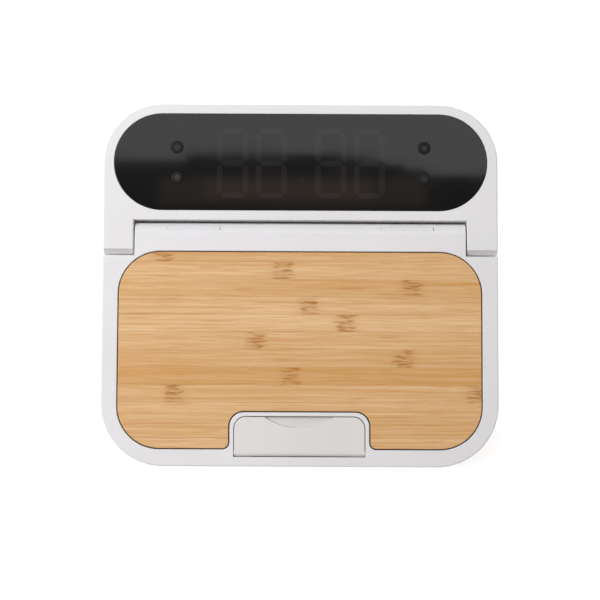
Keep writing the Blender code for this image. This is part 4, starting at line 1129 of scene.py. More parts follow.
def screws(tree: Growth) -> bpy.types.Node:
    """Pan-head screws that point up, with cross recesses in their domed heads.

    Args:
        tree: Its sizes are Head_Radius, Head_Height, Dome, Shank_Radius, Shank_Length,
            Recess_Width, Recess_Length and Recess_Depth.

    Returns:
        The screws as one mesh.
    """
    given = tree.given
    puck = tree.cylinder(32, given["Head_Radius"], given["Head_Height"], rings=5)
    share = tree.maths("DIVIDE", tree.from_axis(), given["Head_Radius"])
    dome = tree.maths("MULTIPLY", tree.maths("MULTIPLY", share, share), given["Dome"])
    drop = tree.point(Z=tree.maths("MULTIPLY", given["Head_Height"], -0.5))
    head = tree.moved(tree.lifted(puck, dome), Translation=drop)
    length = tree.maths("ADD", given["Shank_Length"], given["Head_Height"])
    rise = tree.point(Z=tree.maths("MULTIPLY", given["Shank_Length"], 0.5))
    shank = tree.moved(tree.cylinder(24, given["Shank_Radius"], length), Translation=rise)
    both = {"Mesh 2": [head, shank]}
    whole = tree.add("GeometryNodeMeshBoolean", both, operation="UNION", solver="EXACT")
    face = tree.point(Z=tree.maths("MULTIPLY", given["Head_Height"], -1.0))
    deep = tree.maths("MULTIPLY", given["Recess_Depth"], 2.0)
    wings = []
    for first, second in (("Recess_Width", "Recess_Length"), ("Recess_Length", "Recess_Width")):
        size = tree.point(X=given[first], Y=given[second], Z=deep)
        wings.append(tree.moved(tree.add("GeometryNodeMeshCube", {"Size": size}), Translation=face))
    return tree.spread(tree.without(whole, wings))


def digits(tree: Growth) -> bpy.types.Node:
    """Seven-segment digits, each segment a bar with pointed ends.

    Args:
        tree: Its sizes are Width and Height between the segments' middles, Bar, Gap and
            Thickness.

    Returns:
        All segments as one mesh.
    """
    given = tree.given
    axes = tree.axes(tree.add("GeometryNodeInputPosition"))
    sign = tree.maths("SIGN", axes["X"])
    side = tree.maths("ABSOLUTE", axes["Y"])
    pull = tree.maths("MULTIPLY", tree.maths("MULTIPLY", sign, side), -1.0)
    pointed = tree.point(X=pull)
    extent = tree.point(X=given["Width"], Y=given["Height"])
    level, standing = 0.0, math.pi / 2
    half = tree.maths("MULTIPLY", given["Height"], 0.5)
    lengths = {level: given["Width"], standing: half}
    bars = {}
    for turn, length in lengths.items():
        short = tree.maths("SUBTRACT", length, given["Gap"])
        size = tree.point(X=short, Y=given["Bar"], Z=given["Thickness"])
        bar = tree.add("GeometryNodeMeshCube", {"Size": size, "Vertices Y": 3})
        bars[turn] = tree.add("GeometryNodeSetPosition", {"Geometry": bar, "Offset": pointed})
    layout = [(0, 0.5, level), (0, 0, level), (0, -0.5, level)]
    layout += [(x, y, standing) for x in (-0.5, 0.5) for y in (-0.25, 0.25)]
    segments = []
    for x, y, turn in layout:
        shift = tree.add("ShaderNodeVectorMath", {0: extent, 1: (x, y, 0)}, operation="MULTIPLY")
        segments.append(tree.moved(bars[turn], Translation=shift, Rotation=(0, 0, turn)))
    digit = tree.add("GeometryNodeJoinGeometry", {"Geometry": segments})
    return tree.spread(digit)


def spring(tree: Growth) -> bpy.types.Node:
    """A coil spring along X.

    Args:
        tree: Its sizes are Radius, Length, Turns, Wire_Radius and Turn, the angle that lays
            it down.

    Returns:
        The spring.
    """
    given = tree.given
    coil = tree.add(
        "GeometryNodeCurveSpiral",
        {
            "Resolution": 24,
            "Rotations": given["Turns"],
            "Start Radius": given["Radius"],
            "End Radius": given["Radius"],
            "Height": given["Length"],
        },
    )
    circle = {"Resolution": 10, "Radius": given["Wire_Radius"]}
    section = tree.add("GeometryNodeCurvePrimitiveCircle", circle)
    swept = {"Curve": coil, "Profile Curve": section, "Fill Caps": True}
    wire = tree.add("GeometryNodeCurveToMesh", swept)
    return tree.spread(tree.moved(wire, Rotation=tree.point(Y=given["Turn"])))


def pane(tree: Growth) -> bpy.types.Node:
    """A pane with fully round ends, softened edges and a hole at each place.

    Args:
        tree: Its sizes are Centre, Length, Depth, Thickness, Edge and Hole_Radius.

    Returns:
        The pane.
    """
    given = tree.given
    facets = 128
    radius = tree.maths("MULTIPLY", given["Depth"], 0.5)
    disc = tree.cylinder(facets, radius, given["Thickness"], rows=16)
    even = tree.moved(disc, Rotation=(0, 0, math.pi / facets))
    axes = tree.axes(tree.add("GeometryNodeInputPosition"))
    half = tree.maths("MULTIPLY", given["Thickness"], 0.5)
    start = tree.maths("SUBTRACT", half, given["Edge"])
    past = tree.maths("SUBTRACT", tree.maths("ABSOLUTE", axes["Z"]), start)
    reach = tree.maths("MAXIMUM", past, 0.0)
    square = tree.maths("MULTIPLY", given["Edge"], given["Edge"])
    left = tree.maths("SUBTRACT", square, tree.maths("MULTIPLY", reach, reach))
    root = tree.maths("SQRT", tree.maths("MAXIMUM", left, 0.0))
    inset = tree.maths("SUBTRACT", given["Edge"], root)
    share = tree.maths("DIVIDE", tree.maths("SUBTRACT", radius, inset), radius)
    straight = tree.maths("SUBTRACT", tree.maths("MULTIPLY", given["Length"], 0.5), radius)
    shift = tree.maths("MULTIPLY", tree.maths("SIGN", axes["X"]), straight)
    x = tree.maths("MULTIPLY_ADD", axes["X"], share, shift)
    position = tree.point(X=x, Y=tree.maths("MULTIPLY", axes["Y"], share), Z=axes["Z"])
    bar = tree.add("GeometryNodeSetPosition", {"Geometry": even, "Position": position})
    stood = tree.moved(bar, Translation=given["Centre"])
    deep = tree.maths("MULTIPLY", given["Thickness"], 3.0)
    drills = tree.spread(tree.cylinder(48, given["Hole_Radius"], deep))
    real = tree.add("GeometryNodeRealizeInstances", {"Geometry": drills})
    return tree.without(stood, real)


# The scale


@dataclass(frozen=True)
class Layout:
    """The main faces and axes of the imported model, with the clearances that they share."""

    side: float
    front: float
    rear: float
    bottom: float
    top: float
    axis: Vector  # of the head's hinge
    door_axis: Vector
    knuckle: float  # hinge's axis to the barrel's rear and to the arms' ends
    knuckle_gap: float = 0.7 * MM
    head_gap: float = 1.0 * MM
    arm_width: float = 17.2 * MM
    arm_side_gap: float = 0.6 * MM
    side_wall: float = 2.2 * MM
    gap: float = 0.3 * MM  # between pieces that touch
    cover_thickness: float = 2.4 * MM

    @classmethod
    def read(cls, joints: Sequence[dict]) -> Layout:
        """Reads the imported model.

        Args:
            joints: The frame's joints.

        Returns:
            The layout.
        """
        axes = {joint["name"]: Vector(joint["pos_m"]) for joint in joints if "pos_m" in joint}
        low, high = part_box("base_frame")
        _, head_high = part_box("head_front_housing")
        axis = axes["head_tilt"]
        return cls(
            side=high.x,
            front=low.y,
            rear=head_high.y,
            bottom=low.z,
            top=high.z,
            axis=axis,
            door_axis=axes["battery_door_hinge"],
            knuckle=high.y - axis.y,
        )

    @property
    def shoulder(self) -> float:
        """Y of the base's shoulders, beside the barrel."""
        return self.axis.y - self.knuckle - self.knuckle_gap

    @property
    def head_front(self) -> float:
        """Y of the head's front wall."""
        return self.axis.y + self.knuckle + self.head_gap

    @property
    def arm_inner(self) -> float:
        """X of an arm's inner face."""
        return self.side - self.arm_width

    @property
    def barrel_end(self) -> float:
        """X of the barrel's end."""
        return self.arm_inner - self.arm_side_gap

    @property
    def cover_top(self) -> float:
        """Z of the covers' inner faces."""
        return self.bottom + self.cover_thickness

    def profile(self, end: float, joined: float, radius: float, chamfer: float = 0.0) -> Plan:
        """Side view of a full-thickness piece, soft-cornered at one end and joined at the other.

        Args:
            end: Y of the free end.
            joined: Y of the end that is joined on.
            radius: Its corners' radius.
            chamfer: How far its corners are bevelled before they are rounded.

        Returns:
            The outline in Y and Z.
        """
        out = math.copysign(1, end - joined)

        def plan(grow: float) -> Corners:
            """The outline, grown by an offset.

            Args:
                grow: The offset.

            Returns:
                The corners.
            """
            low, high = self.bottom - grow, self.top + grow
            tip, root = end + out * grow, joined - out * grow
            soft = max(radius + grow, 0.1 * MM)
            if not chamfer:
                return [(tip, low, soft), (root, low, 0), (root, high, 0), (tip, high, soft)]
            near, rise = tip - out * chamfer, 1.4 * chamfer
            lower = [(tip, low + rise, soft), (near, low, soft), (root, low, 0)]
            return lower + [(root, high, 0), (near, high, soft), (tip, high - rise, soft)]

        return plan


def middle(node: str) -> Vector:
    """The middle of a node's box."""
    low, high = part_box(node)
    return (low + high) / 2


def foot_of(node: str) -> Vector:
    """The middle of the underside of a node's box."""
    low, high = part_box(node)
    return Vector(((low.x + high.x) / 2, (low.y + high.y) / 2, low.z))


SIDES = (("left", -1), ("right", 1))
BASE_FEET = [f"base_foot_{end}_{side}" for end in ("front", "rear") for side in ("left", "right")]
HEAD_FEET = ["head_foot_left", "head_foot_right"]
BASE_COVER_SCREWS = [f"base_cover_screw_{number}" for number in range(1, 5)]
BASE_SCREWS = BASE_COVER_SCREWS + ["load_cell_screw_1", "load_cell_screw_2"]
HEAD_SCREWS = [f"head_cover_screw_{number}" for number in range(1, 5)]


def span(sign: int, near: float, far: float) -> tuple[float, float]:
    """The low and high X of a stretch given outwards from the middle."""
    return min(sign * near, sign * far), max(sign * near, sign * far)


def plate(
    side: float, front: float, rear: float, front_radius: float, rear_radius: float
) -> Corners:
    """A four-cornered plan that is even about X = 0, with its corners' radii."""
    right = [(side, front, front_radius), (side, rear, rear_radius)]
    return [(-side, front, front_radius), *right, (-side, rear, rear_radius)]


def mirrored(right: Corners) -> Corners:
    """A plan that is even about X = 0, from the corners of its right half."""
    return [(-x, y, radius) for x, y, radius in right[::-1]] + right


class Finishes:
    """Every material of the scale, by slot, and the few that a slot's pieces also need."""

    def __init__(self) -> None:
        """Builds the materials."""
        cells_low, cells_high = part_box("aaa_cell_front")
        _, board_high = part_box("bamboo_platform")
        plastic, acrylic, metal = MouldedPlastic, SmokedAcrylic, WorkedMetal
        by_slot = {
            Slot.WHITE: plastic("moulded_white_abs", "#EFEEEF", "#EBEAEA", 0.40),
            Slot.GREY: plastic("moulded_grey_abs", "#C3C4C6", "#B9BABC", 0.48),
            Slot.BAMBOO: LaminatedBamboo("laminated_bamboo_lacquered", board_high.y),
            Slot.WINDOW: acrylic("polished_smoked_acrylic", "#0B0A0A", "#0D0C0C"),
            Slot.BLACK: plastic("moulded_black_abs", "#1A1A1B", "#151516", 0.34),
            Slot.RUBBER: plastic(
                "moulded_rubber", "#333435", "#2B2C2D", 0.72, relief=0.04 * MM, ior=1.52
            ),
            Slot.ALUMINIUM: metal("milled_aluminium", "#D6D8DA", 0.34),
            Slot.STEEL: metal("nickel_plated_steel", "#C4C2BE", 0.26, line=0.25 * MM),
            Slot.BOARD: SolderMask("solder_masked_board"),
            Slot.WRAP: PrintedWrap("printed_cell_wrap", cells_low.x, cells_high.x),
            Slot.JACKET: plastic(
                "extruded_pvc_jacket", "#9FA0A2", "#909193", 0.5, relief=0.02 * MM, ior=1.53
            ),
        }
        self.made = {slot: finish.material() for slot, finish in by_slot.items()}
        segment = acrylic("unlit_segment_under_acrylic", "#1B1A1A", "#1D1C1C")
        mark = acrylic("unlit_mark_under_acrylic", "#131212", "#141313")
        ink = plastic("pad_printed_grey_ink", "#424244", "#3C3C3E", 0.5)
        # The board's sides in a darker copy of the bamboo: painted shade of the gap round the board.
        edge_shade_copy = LaminatedBamboo(
            "bamboo_edge_painted_gap_shade",
            board_high.y,
            pale="#A77B4B",
            dark="#8F6538",
            fibre_colour="#73502B",
        )
        door = plastic("moulded_door_abs", "#EAE8E5", "#E6E4E1", 0.42)
        # The scoop floor's grip: a coarser pebble and a rougher gloss, and a darker colour that is
        # painted shade of the recess.
        grip_and_painted_shade = plastic("grip_abs_painted_recess_shade", "#DCDAD7", "#D6D4D1", 0.5, relief=0.02 * MM)
        silicone = plastic("moulded_black_silicone", "#0C0C0D", "#0A0A0B", 0.6, ior=1.41)
        self.door = door.material()
        self.grip_and_painted_shade = grip_and_painted_shade.material()
        self.silicone = silicone.material()
        self.segment = segment.material()
        self.mark = mark.material()
        self.sign = ink.material()
        self.bamboo_edge = edge_shade_copy.material()

    def __getitem__(self, slot: Slot) -> bpy.types.Material:
        """The material of a slot."""
        return self.made[slot]


class Bench:
    """Hands finished pieces over to the frame."""

    def __init__(self, frame: dict, finishes: Finishes) -> None:
        """Keeps the frame and the finishes."""
        self.frame = frame
        self.finishes = finishes

    def present(
        self,
        piece: bpy.types.Object,
        body: str,
        slot: Slot,
        nodes: Sequence[str] = (),
        material: bpy.types.Material | None = None,
    ) -> bpy.types.Object:
        """Dresses a piece, sets it on its body and reports it.

        Args:
            piece: The finished piece.
            body: The CAD body that it rides on.
            slot: The slot that it takes its finish from.
            nodes: The CAD nodes that it stands for.
            material: Its material, if it isn't the slot's own.

        Returns:
            The piece.
        """
        piece.data.materials.clear()
        piece.data.materials.append(material or self.finishes[slot])
        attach(piece, body)
        if nodes:
            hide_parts(*nodes)
        log.info("%s: %d faces, rides on %s", piece.name, len(piece.data.polygons), body)
        return piece

    def dress(self, slot: Slot, *nodes: str) -> None:
        """Gives CAD nodes that stay a procedural material.

        Args:
            slot: The slot that they take their finish from.
            *nodes: The nodes.
        """
        for node in nodes:
            kept = self.frame["nodes"][node]
            kept.data.materials.clear()
            kept.data.materials.append(self.finishes[slot])
            log.info("%s: kept, %s", node, slot.value)


SCREW_SIZES = {
    "Head_Radius": 2.3 * MM,
    "Head_Height": 1.0 * MM,
    "Dome": 0.35 * MM,
    "Shank_Radius": 1.25 * MM,
    "Shank_Length": 7.0 * MM,
    "Recess_Width": 0.55 * MM,
    "Recess_Length": 2.5 * MM,
    "Recess_Depth": 0.7 * MM,
}
FOOT_SIZES = {
    "Groove_Pitch": 1.5 * MM,
    "Groove_Depth": 0.35 * MM,
    "Chamfer": 0.5 * MM,
}


@dataclass
class Fastening:
    """Bosses, holes and pockets that shells and covers share."""

    layout: Layout
    boss_radius: float = 3.0 * MM
    hole_radius: float = 1.55 * MM
    sink_radius: float = 2.6 * MM
    sink_depth: float = 1.3 * MM
    foot_radius: float = 6.0 * MM
    pocket_depth: float = 0.9 * MM
    pocket_edge: float = 0.2 * MM
    screw_length: float = SCREW_SIZES["Shank_Length"]
    through: float = 30 * MM  # length of a drill that goes right through a cover
    post_radius: float = 2.4 * MM
    post_inset: float = 4.5 * MM  # from the edges of the board above

    def bosses(self, work: Workpiece, nodes: Sequence[str], high: float) -> None:
        """Joins bosses with blind holes to a shell's inside.

        Args:
            work: The shell.
            nodes: The screws that they take.
            high: Z where they join the top wall.
        """
        low = self.layout.cover_top + self.layout.gap
        for node in nodes:
            work.join(upright(node + "_boss", middle(node), low, high, self.boss_radius))
        for node in nodes:
            at = middle(node)
            depth = self.screw_length + self.layout.gap
            centre = (at.x, at.y, low + (depth - CUT_PAST) / 2)
            work.cut(rod(node + "_hole", centre, self.hole_radius, depth + CUT_PAST))

    def post(
        self, work: Workpiece, name: str, at: Sequence[float], above: float, radius: float
    ) -> None:
        """Joins a post to a cover.

        Args:
            work: The cover.
            name: The post's name.
            at: A point on its axis.
            above: Z of what it ends under, with a gap.
            radius: Its radius.
        """
        layout = self.layout
        low = layout.bottom + layout.cover_thickness / 2
        work.join(upright(name, at, low, above - layout.gap, radius))

    def posts(self, work: Workpiece, name: str, low: Vector, high: Vector) -> None:
        """Joins four posts to a cover, under a board's corners.

        Args:
            work: The cover.
            name: What the posts' names start with.
            low: The board's low corner.
            high: The board's high corner.
        """
        inset = self.post_inset
        rows = (low.y + inset, high.y - inset)
        places = [(x, y) for x in (low.x + inset, high.x - inset) for y in rows]
        for number, place in enumerate(places, 1):
            self.post(work, f"{name}_{number}", place, low.z, self.post_radius)

    def sinks(self, work: Workpiece, nodes: Sequence[str]) -> None:
        """Cuts counterbored holes in a cover, from below.

        Args:
            work: The cover.
            nodes: The screws that they take.
        """
        bottom = self.layout.bottom
        for node in nodes:
            at = middle(node)
            work.cut(rod(node + "_way", (at.x, at.y, bottom), self.hole_radius, self.through))
            work.cut(self.pocket(node + "_sink", at, self.sink_radius, self.sink_depth))

    def pockets(self, work: Workpiece, nodes: Sequence[str]) -> None:
        """Cuts shallow pockets that locate the feet.

        Args:
            work: The cover.
            nodes: The feet.
        """
        radius = self.foot_radius + self.layout.gap
        for node in nodes:
            work.cut(self.pocket(node + "_pocket", middle(node), radius, self.pocket_depth))

    def pocket(self, name: str, at: Vector, radius: float, depth: float) -> bpy.types.Object:
        """A round cutter up from the underside, which softens the edge that it leaves.

        Args:
            name: The cutter's name.
            at: A point on its axis.
            radius: Its radius.
            depth: How far up it cuts.

        Returns:
            The cutter.
        """
        soft = self.pocket_edge
        profile = [
            (0, -CUT_PAST, 0),
            (radius + soft, -CUT_PAST, 0),
            (radius + soft, 0, 0),
            (radius, soft, 0),
            (radius, depth, 0),
            (0, depth, 0),
        ]
        return turned(name, profile, Vector((at.x, at.y, self.layout.bottom)))


@dataclass
class Base:
    """The base: its shell with the barrel and battery bay, its cover, feet and screws."""

    layout: Layout
    bench: Bench
    fastening: Fastening
    corner_radius: float = 34.5 * MM
    edge: float = 0.9 * MM
    under_edge: float = 0.8 * MM
    top_wall: float = 2.2 * MM
    shoulder_wall: float = 3.2 * MM
    barrel_round: float = 7.0 * MM
    barrel_bore: float = 6.8 * MM
    barrel_edge: float = 0.5 * MM
    opening_edge: float = 0.5 * MM
    arm_round: float = 4.0 * MM
    swing_gap: float = 0.4 * MM
    shaft_radius: float = 3.0 * MM
    press_travel: float = 0.25 * MM
    tab_wall: float = 2.2 * MM
    tab_corner: float = 7.8 * MM
    tab_mouth: float = 3.3 * MM
    platform_gap: float = 0.5 * MM
    platform_corner: float = 23.3 * MM
    door_gap: float = 0.4 * MM
    door_width: float = 72.0 * MM
    door_corner: float = 6.3 * MM
    door_knuckle: float = 2.0 * MM
    door_pin: float = 1.3 * MM
    door_thickness: float = 1.6 * MM
    doorway_edge: float = 0.3 * MM
    pin_play: float = 0.2 * MM
    pin_reach: float = 1.5 * MM  # depth of the holes that the pins turn in
    bay_length: float = 54.0 * MM
    bay_floor: float = 1.0 * MM
    scoop_chord: float = 39.0 * MM
    scoop_sagitta: float = 6.1 * MM
    scoop_depth: float = 2.0 * MM
    scoop_wall: float = 1.0 * MM
    slot_length: float = 30.0 * MM
    slot_width: float = 3.0 * MM
    slot_depth: float = 4.5 * MM
    slot_from_end: float = 32.7 * MM
    slot_angle: float = math.radians(31)
    cap_recess: float = 0.05 * MM
    cap_thickness: float = 1.5 * MM
    cap_play: float = 0.08 * MM
    cap_corner: float = 0.4 * MM
    cap_edge: float = 0.25 * MM
    cover_edge: float = 0.2 * MM

    def outline(self, grow: float) -> Corners:
        """Plan of the base up to its shoulders.

        Args:
            grow: How far the plan is grown.

        Returns:
            The corners.
        """
        at = self.layout
        side, radius = at.side + grow, self.corner_radius + grow
        front, rear = at.front - grow, at.shoulder + grow
        return plate(side, front, rear, radius, 0)

    def cavity(self, grow: float) -> Corners:
        """Plan of the inside, which reaches back into the barrel.

        Args:
            grow: How far the plan is grown.

        Returns:
            The corners.
        """
        at = self.layout
        inset = at.side_wall - grow
        side, front = at.side - inset, at.front + inset
        shoulder, barrel = at.shoulder - self.shoulder_wall + grow, at.barrel_end - inset
        rear = at.axis.y - at.side_wall + grow
        radius = self.corner_radius - inset
        right = [(side, front, radius), (side, shoulder, 0)]
        right += [(barrel, shoulder, 0), (barrel, rear, 0)]
        return mirrored(right)

    def platform(self, grow: float) -> Corners:
        """Plan of the bamboo board with its notch round the battery tab.

        Args:
            grow: How far the plan is grown.

        Returns:
            The corners.
        """
        low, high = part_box("bamboo_platform")
        tab_x = self.door_width / 2 + self.door_gap + self.tab_wall
        tab_y = self.door_rear + self.door_gap + self.tab_wall
        notch_x = tab_x + self.platform_gap - grow
        notch_y = tab_y + self.platform_gap - grow
        corner, mouth = self.platform_corner + grow, self.tab_mouth + grow
        inner = self.tab_corner + self.platform_gap - grow
        front, rear, side = low.y - grow, high.y + grow, high.x + grow
        right = [(notch_x, notch_y, inner), (notch_x, front, mouth), (side, front, corner)]
        right.append((side, rear, corner))
        return mirrored(right)

    @property
    def door_front(self) -> float:
        """Y of the door's front edge."""
        return self.layout.door_axis.y - self.door_knuckle

    @property
    def door_rear(self) -> float:
        """Y of the door's rear edge."""
        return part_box("battery_door")[1].y

    def doorway(self, grow: float) -> Corners:
        """Plan of the door with its gap.

        Args:
            grow: How far the plan is grown.

        Returns:
            The corners.
        """
        side = self.door_width / 2 + self.door_gap + grow
        front = self.door_front - self.door_gap - grow
        rear = self.door_rear + self.door_gap + grow
        radius = self.door_corner + self.door_gap + grow
        return plate(side, front, rear, 0, radius)

    def scoop(self, past: float) -> Plan:
        """Plan of the door's finger scoop, an arc that opens at the door's rear edge.

        Args:
            past: How far it runs on behind that edge.

        Returns:
            The outline.
        """
        half = self.scoop_chord / 2
        radius = (half**2 + self.scoop_sagitta**2) / (2 * self.scoop_sagitta)
        centre = self.door_rear - self.scoop_sagitta + radius
        rear = self.door_rear + past
        steps = 32

        def plan(grow: float) -> Corners:
            """The outline, grown by an offset.

            Args:
                grow: The offset.

            Returns:
                The corners.
            """
            reach = radius + grow
            spread = math.acos((centre - rear) / reach)
            angles = [spread * (2 * step / steps - 1) for step in range(steps + 1)]
            return [(reach * math.sin(a), centre - reach * math.cos(a), 0) for a in angles]

        return plan

    def shell(self) -> None:
        """The white upper shell."""
        at = self.layout
        work = Workpiece(
            slab("base_shell", self.outline, at.bottom, at.top, self.under_edge, self.edge)
        )
        barrel = at.profile(
            at.axis.y + at.knuckle, at.shoulder - self.shoulder_wall, self.barrel_round
        )
        end = at.barrel_end
        soft = self.barrel_edge
        work.join(slab("barrel", barrel, -end, end, soft, soft, Axis.ACROSS))
        roof = at.top - self.top_wall
        work.cut(slab("cavity", self.cavity, at.bottom, roof, -MOUTH_EDGE))
        work.cut(rod("bore", at.axis, self.barrel_bore, 2 * (end - at.side_wall), "X"))
        self.add_bay(work)
        self.fastening.bosses(work, BASE_COVER_SCREWS, roof + self.top_wall / 2)
        self.cut_bay(work)
        platform_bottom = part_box("bamboo_platform")[0].z
        floor = platform_bottom - self.press_travel - at.gap
        opening = slab(
            "opening",
            lambda grow: self.platform(self.platform_gap + grow),
            floor,
            at.top,
            top=-self.opening_edge,
        )
        work.cut(opening)
        work.cut(rod("shafts", at.axis, self.shaft_radius + at.gap, 2 * (end + CUT_PAST), "X"))
        swing = at.knuckle - self.arm_round
        hollow_radius = math.hypot(swing, swing) + self.arm_round + self.swing_gap
        fine = self.cap_play
        for name, sign in SIDES:
            x, y = self.slot_length / 2 - at.gap + fine, self.slot_width / 2 - at.gap + fine
            slot = block(
                "slot_" + name, (-x, -y, -self.slot_depth), (x + 0.2 * MM, y, self.slot_depth)
            )
            slot.data.transform(self.on_barrel(sign, 0))
            low, high = span(sign, end + at.arm_side_gap / 2, at.side + CUT_PAST)
            centre = ((low + high) / 2, at.axis.y, at.axis.z)
            work.cut(slot, rod("hollow_" + name, centre, hollow_radius, high - low, "X"))
        self.bench.present(work.finished(), "base", Slot.WHITE, ["base_frame"])

    def add_bay(self, work: Workpiece) -> None:
        """Joins on the block that the battery bay is cut in.

        Args:
            work: The shell.
        """
        at = self.layout
        side = self.door_width / 2 + self.door_gap + self.tab_wall
        front = at.front + at.side_wall / 2
        rear = self.door_rear + self.door_gap + self.tab_wall
        corner = self.tab_corner
        plan = plate(side, front, rear, 0, corner)
        low, high = at.cover_top + at.gap, at.top - self.top_wall / 2
        work.join(slab("bay_block", lambda grow: plan, low, high))

    def cut_bay(self, work: Workpiece) -> None:
        """Cuts the doorway, the bay for the cells and the pin holes.

        Args:
            work: The shell.
        """
        at = self.layout
        axis = at.door_axis
        sill = axis.z - self.door_knuckle - self.door_gap
        work.cut(slab("doorway", self.doorway, sill, at.top, top=-self.doorway_edge))
        front = self.door_front - self.door_gap
        rear = self.door_rear + self.door_gap
        half = self.bay_length / 2
        floor = at.cover_top + at.gap + self.bay_floor
        bay = block("bay", (-half, front, floor), (half, rear, at.top - self.door_thickness))
        scoop = self.scoop(self.door_gap)
        grown = self.scoop_wall + self.door_gap
        pan = at.top - self.scoop_depth - self.scoop_wall - at.gap
        room = slab(
            "scoop_room", lambda grow: scoop(grown + grow), pan, at.top - self.door_thickness
        )
        reach = 2 * (self.door_width / 2 + self.pin_reach)
        pins = rod("door_pins", axis, self.door_pin + self.pin_play, reach, "X")
        work.cut(bay, room, pins)

    def on_barrel(self, sign: int, depth: float) -> Matrix:
        """A place on the barrel's rear slope.

        Args:
            sign: 1 for the right, -1 for the left.
            depth: How far under the surface.

        Returns:
            The place, its Z square to the surface.
        """
        at = self.layout
        lean = Vector((0, math.sin(self.slot_angle), math.cos(self.slot_angle)))
        off = at.knuckle - self.barrel_round
        corner = Vector((sign * (at.barrel_end - self.slot_from_end), at.axis.y, at.axis.z))
        place = corner + Vector((0, off, off)) + lean * (self.barrel_round - depth)
        return Matrix.Translation(place) @ Matrix.Rotation(-self.slot_angle, 4, "X")

    def slot_caps(self) -> None:
        """The strips that close the hinge slots, with softened edges."""
        gap = self.layout.gap
        x, y = self.slot_length / 2 - gap, self.slot_width / 2 - gap
        half = self.cap_thickness / 2

        def plan(grow: float) -> Corners:
            """The strip's plan, grown by an offset.

            Args:
                grow: The offset.

            Returns:
                The corners.
            """
            radius = self.cap_corner + grow
            return plate(x + grow, -y - grow, y + grow, radius, radius)

        for name, sign in SIDES:
            made = slab("slot_cap_" + name, plan, -half, half, 0, self.cap_edge)
            made.data.transform(self.on_barrel(sign, self.cap_recess + half))
            self.bench.present(shade(made), "base", Slot.WHITE, ["hinge_slot_cap_" + name])

    def cover(self) -> None:
        """The grey cover underneath, with posts, pockets and counterbores."""
        at = self.layout
        fastening = self.fastening
        plan = lambda grow: self.cavity(grow - at.gap)
        work = Workpiece(slab("base_cover", plan, at.bottom, at.cover_top, self.cover_edge))
        board_low, board_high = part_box("main_board")
        fastening.posts(work, "board_post", board_low, board_high)
        for name, _ in SIDES:
            screw = middle("hinge_bracket_screw_" + name)
            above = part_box("hinge_sleeve_" + name)[0].z
            fastening.post(work, "bracket_post_" + name, screw, above, fastening.boss_radius)
            foot = (screw.x, screw.y, at.bottom)
            hole = rod("bracket_hole_" + name, foot, fastening.hole_radius, fastening.through)
            work.cut(hole)
        self.fastening.pockets(work, BASE_FEET)
        self.fastening.sinks(work, BASE_SCREWS)
        self.bench.present(work.finished(), "base", Slot.GREY, ["base_bottom_cover"])

    def fittings(self) -> None:
        """Feet, screws, and everything inside that the model already shapes well enough."""
        steel, rubber = self.bench.finishes[Slot.STEEL], self.bench.finishes[Slot.RUBBER]
        add_feet("base_feet", "base", BASE_FEET, self.bench, rubber)
        add_screws("base_screws", "base", BASE_SCREWS, self.bench, steel)
        dress = self.bench.dress
        dress(Slot.STEEL, "hinge_sleeve_left", "hinge_sleeve_right", "load_cell_base_spacer")
        dress(Slot.STEEL, "hinge_bracket_screw_left", "hinge_bracket_screw_right")
        dress(Slot.ALUMINIUM, "load_cell")
        dress(Slot.BOARD, "main_board")
        dress(Slot.BLACK, "cable_plug")
        dress(Slot.JACKET, "base_cable", "load_cell_lead")

    def build(self) -> None:
        """Builds and dresses the whole base."""
        self.shell()
        self.slot_caps()
        self.cover()
        self.fittings()


def add_feet(
    name: str, body: str, nodes: Sequence[str], bench: Bench, material: bpy.types.Material
) -> None:
    """Grows a body's feet where its nodes are.

    Args:
        name: The piece's name.
        body: The body that they ride on.
        nodes: The feet that they stand for.
        bench: Where they are handed over.
        material: Their rubber.
    """
    low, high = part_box(nodes[0])
    sizes = {"Radius": (high.x - low.x) / 2, "Height": high.z - low.z, **FOOT_SIZES}
    made = grow(name, feet, [foot_of(node) for node in nodes], material, **sizes)
    bench.present(made, body, Slot.RUBBER, nodes)


def add_screws(
    name: str, body: str, nodes: Sequence[str], bench: Bench, material: bpy.types.Material
) -> None:
    """Grows a body's screws where its nodes are.

    Args:
        name: The piece's name.
        body: The body that they ride on.
        nodes: The screws that they stand for.
        bench: Where they are handed over.
        material: Their steel.
    """
    seat = Vector((0, 0, SCREW_SIZES["Head_Height"]))
    places = [foot_of(node) + seat for node in nodes]
    made = grow(name, screws, places, material, **SCREW_SIZES)
    bench.present(made, body, Slot.STEEL, nodes)


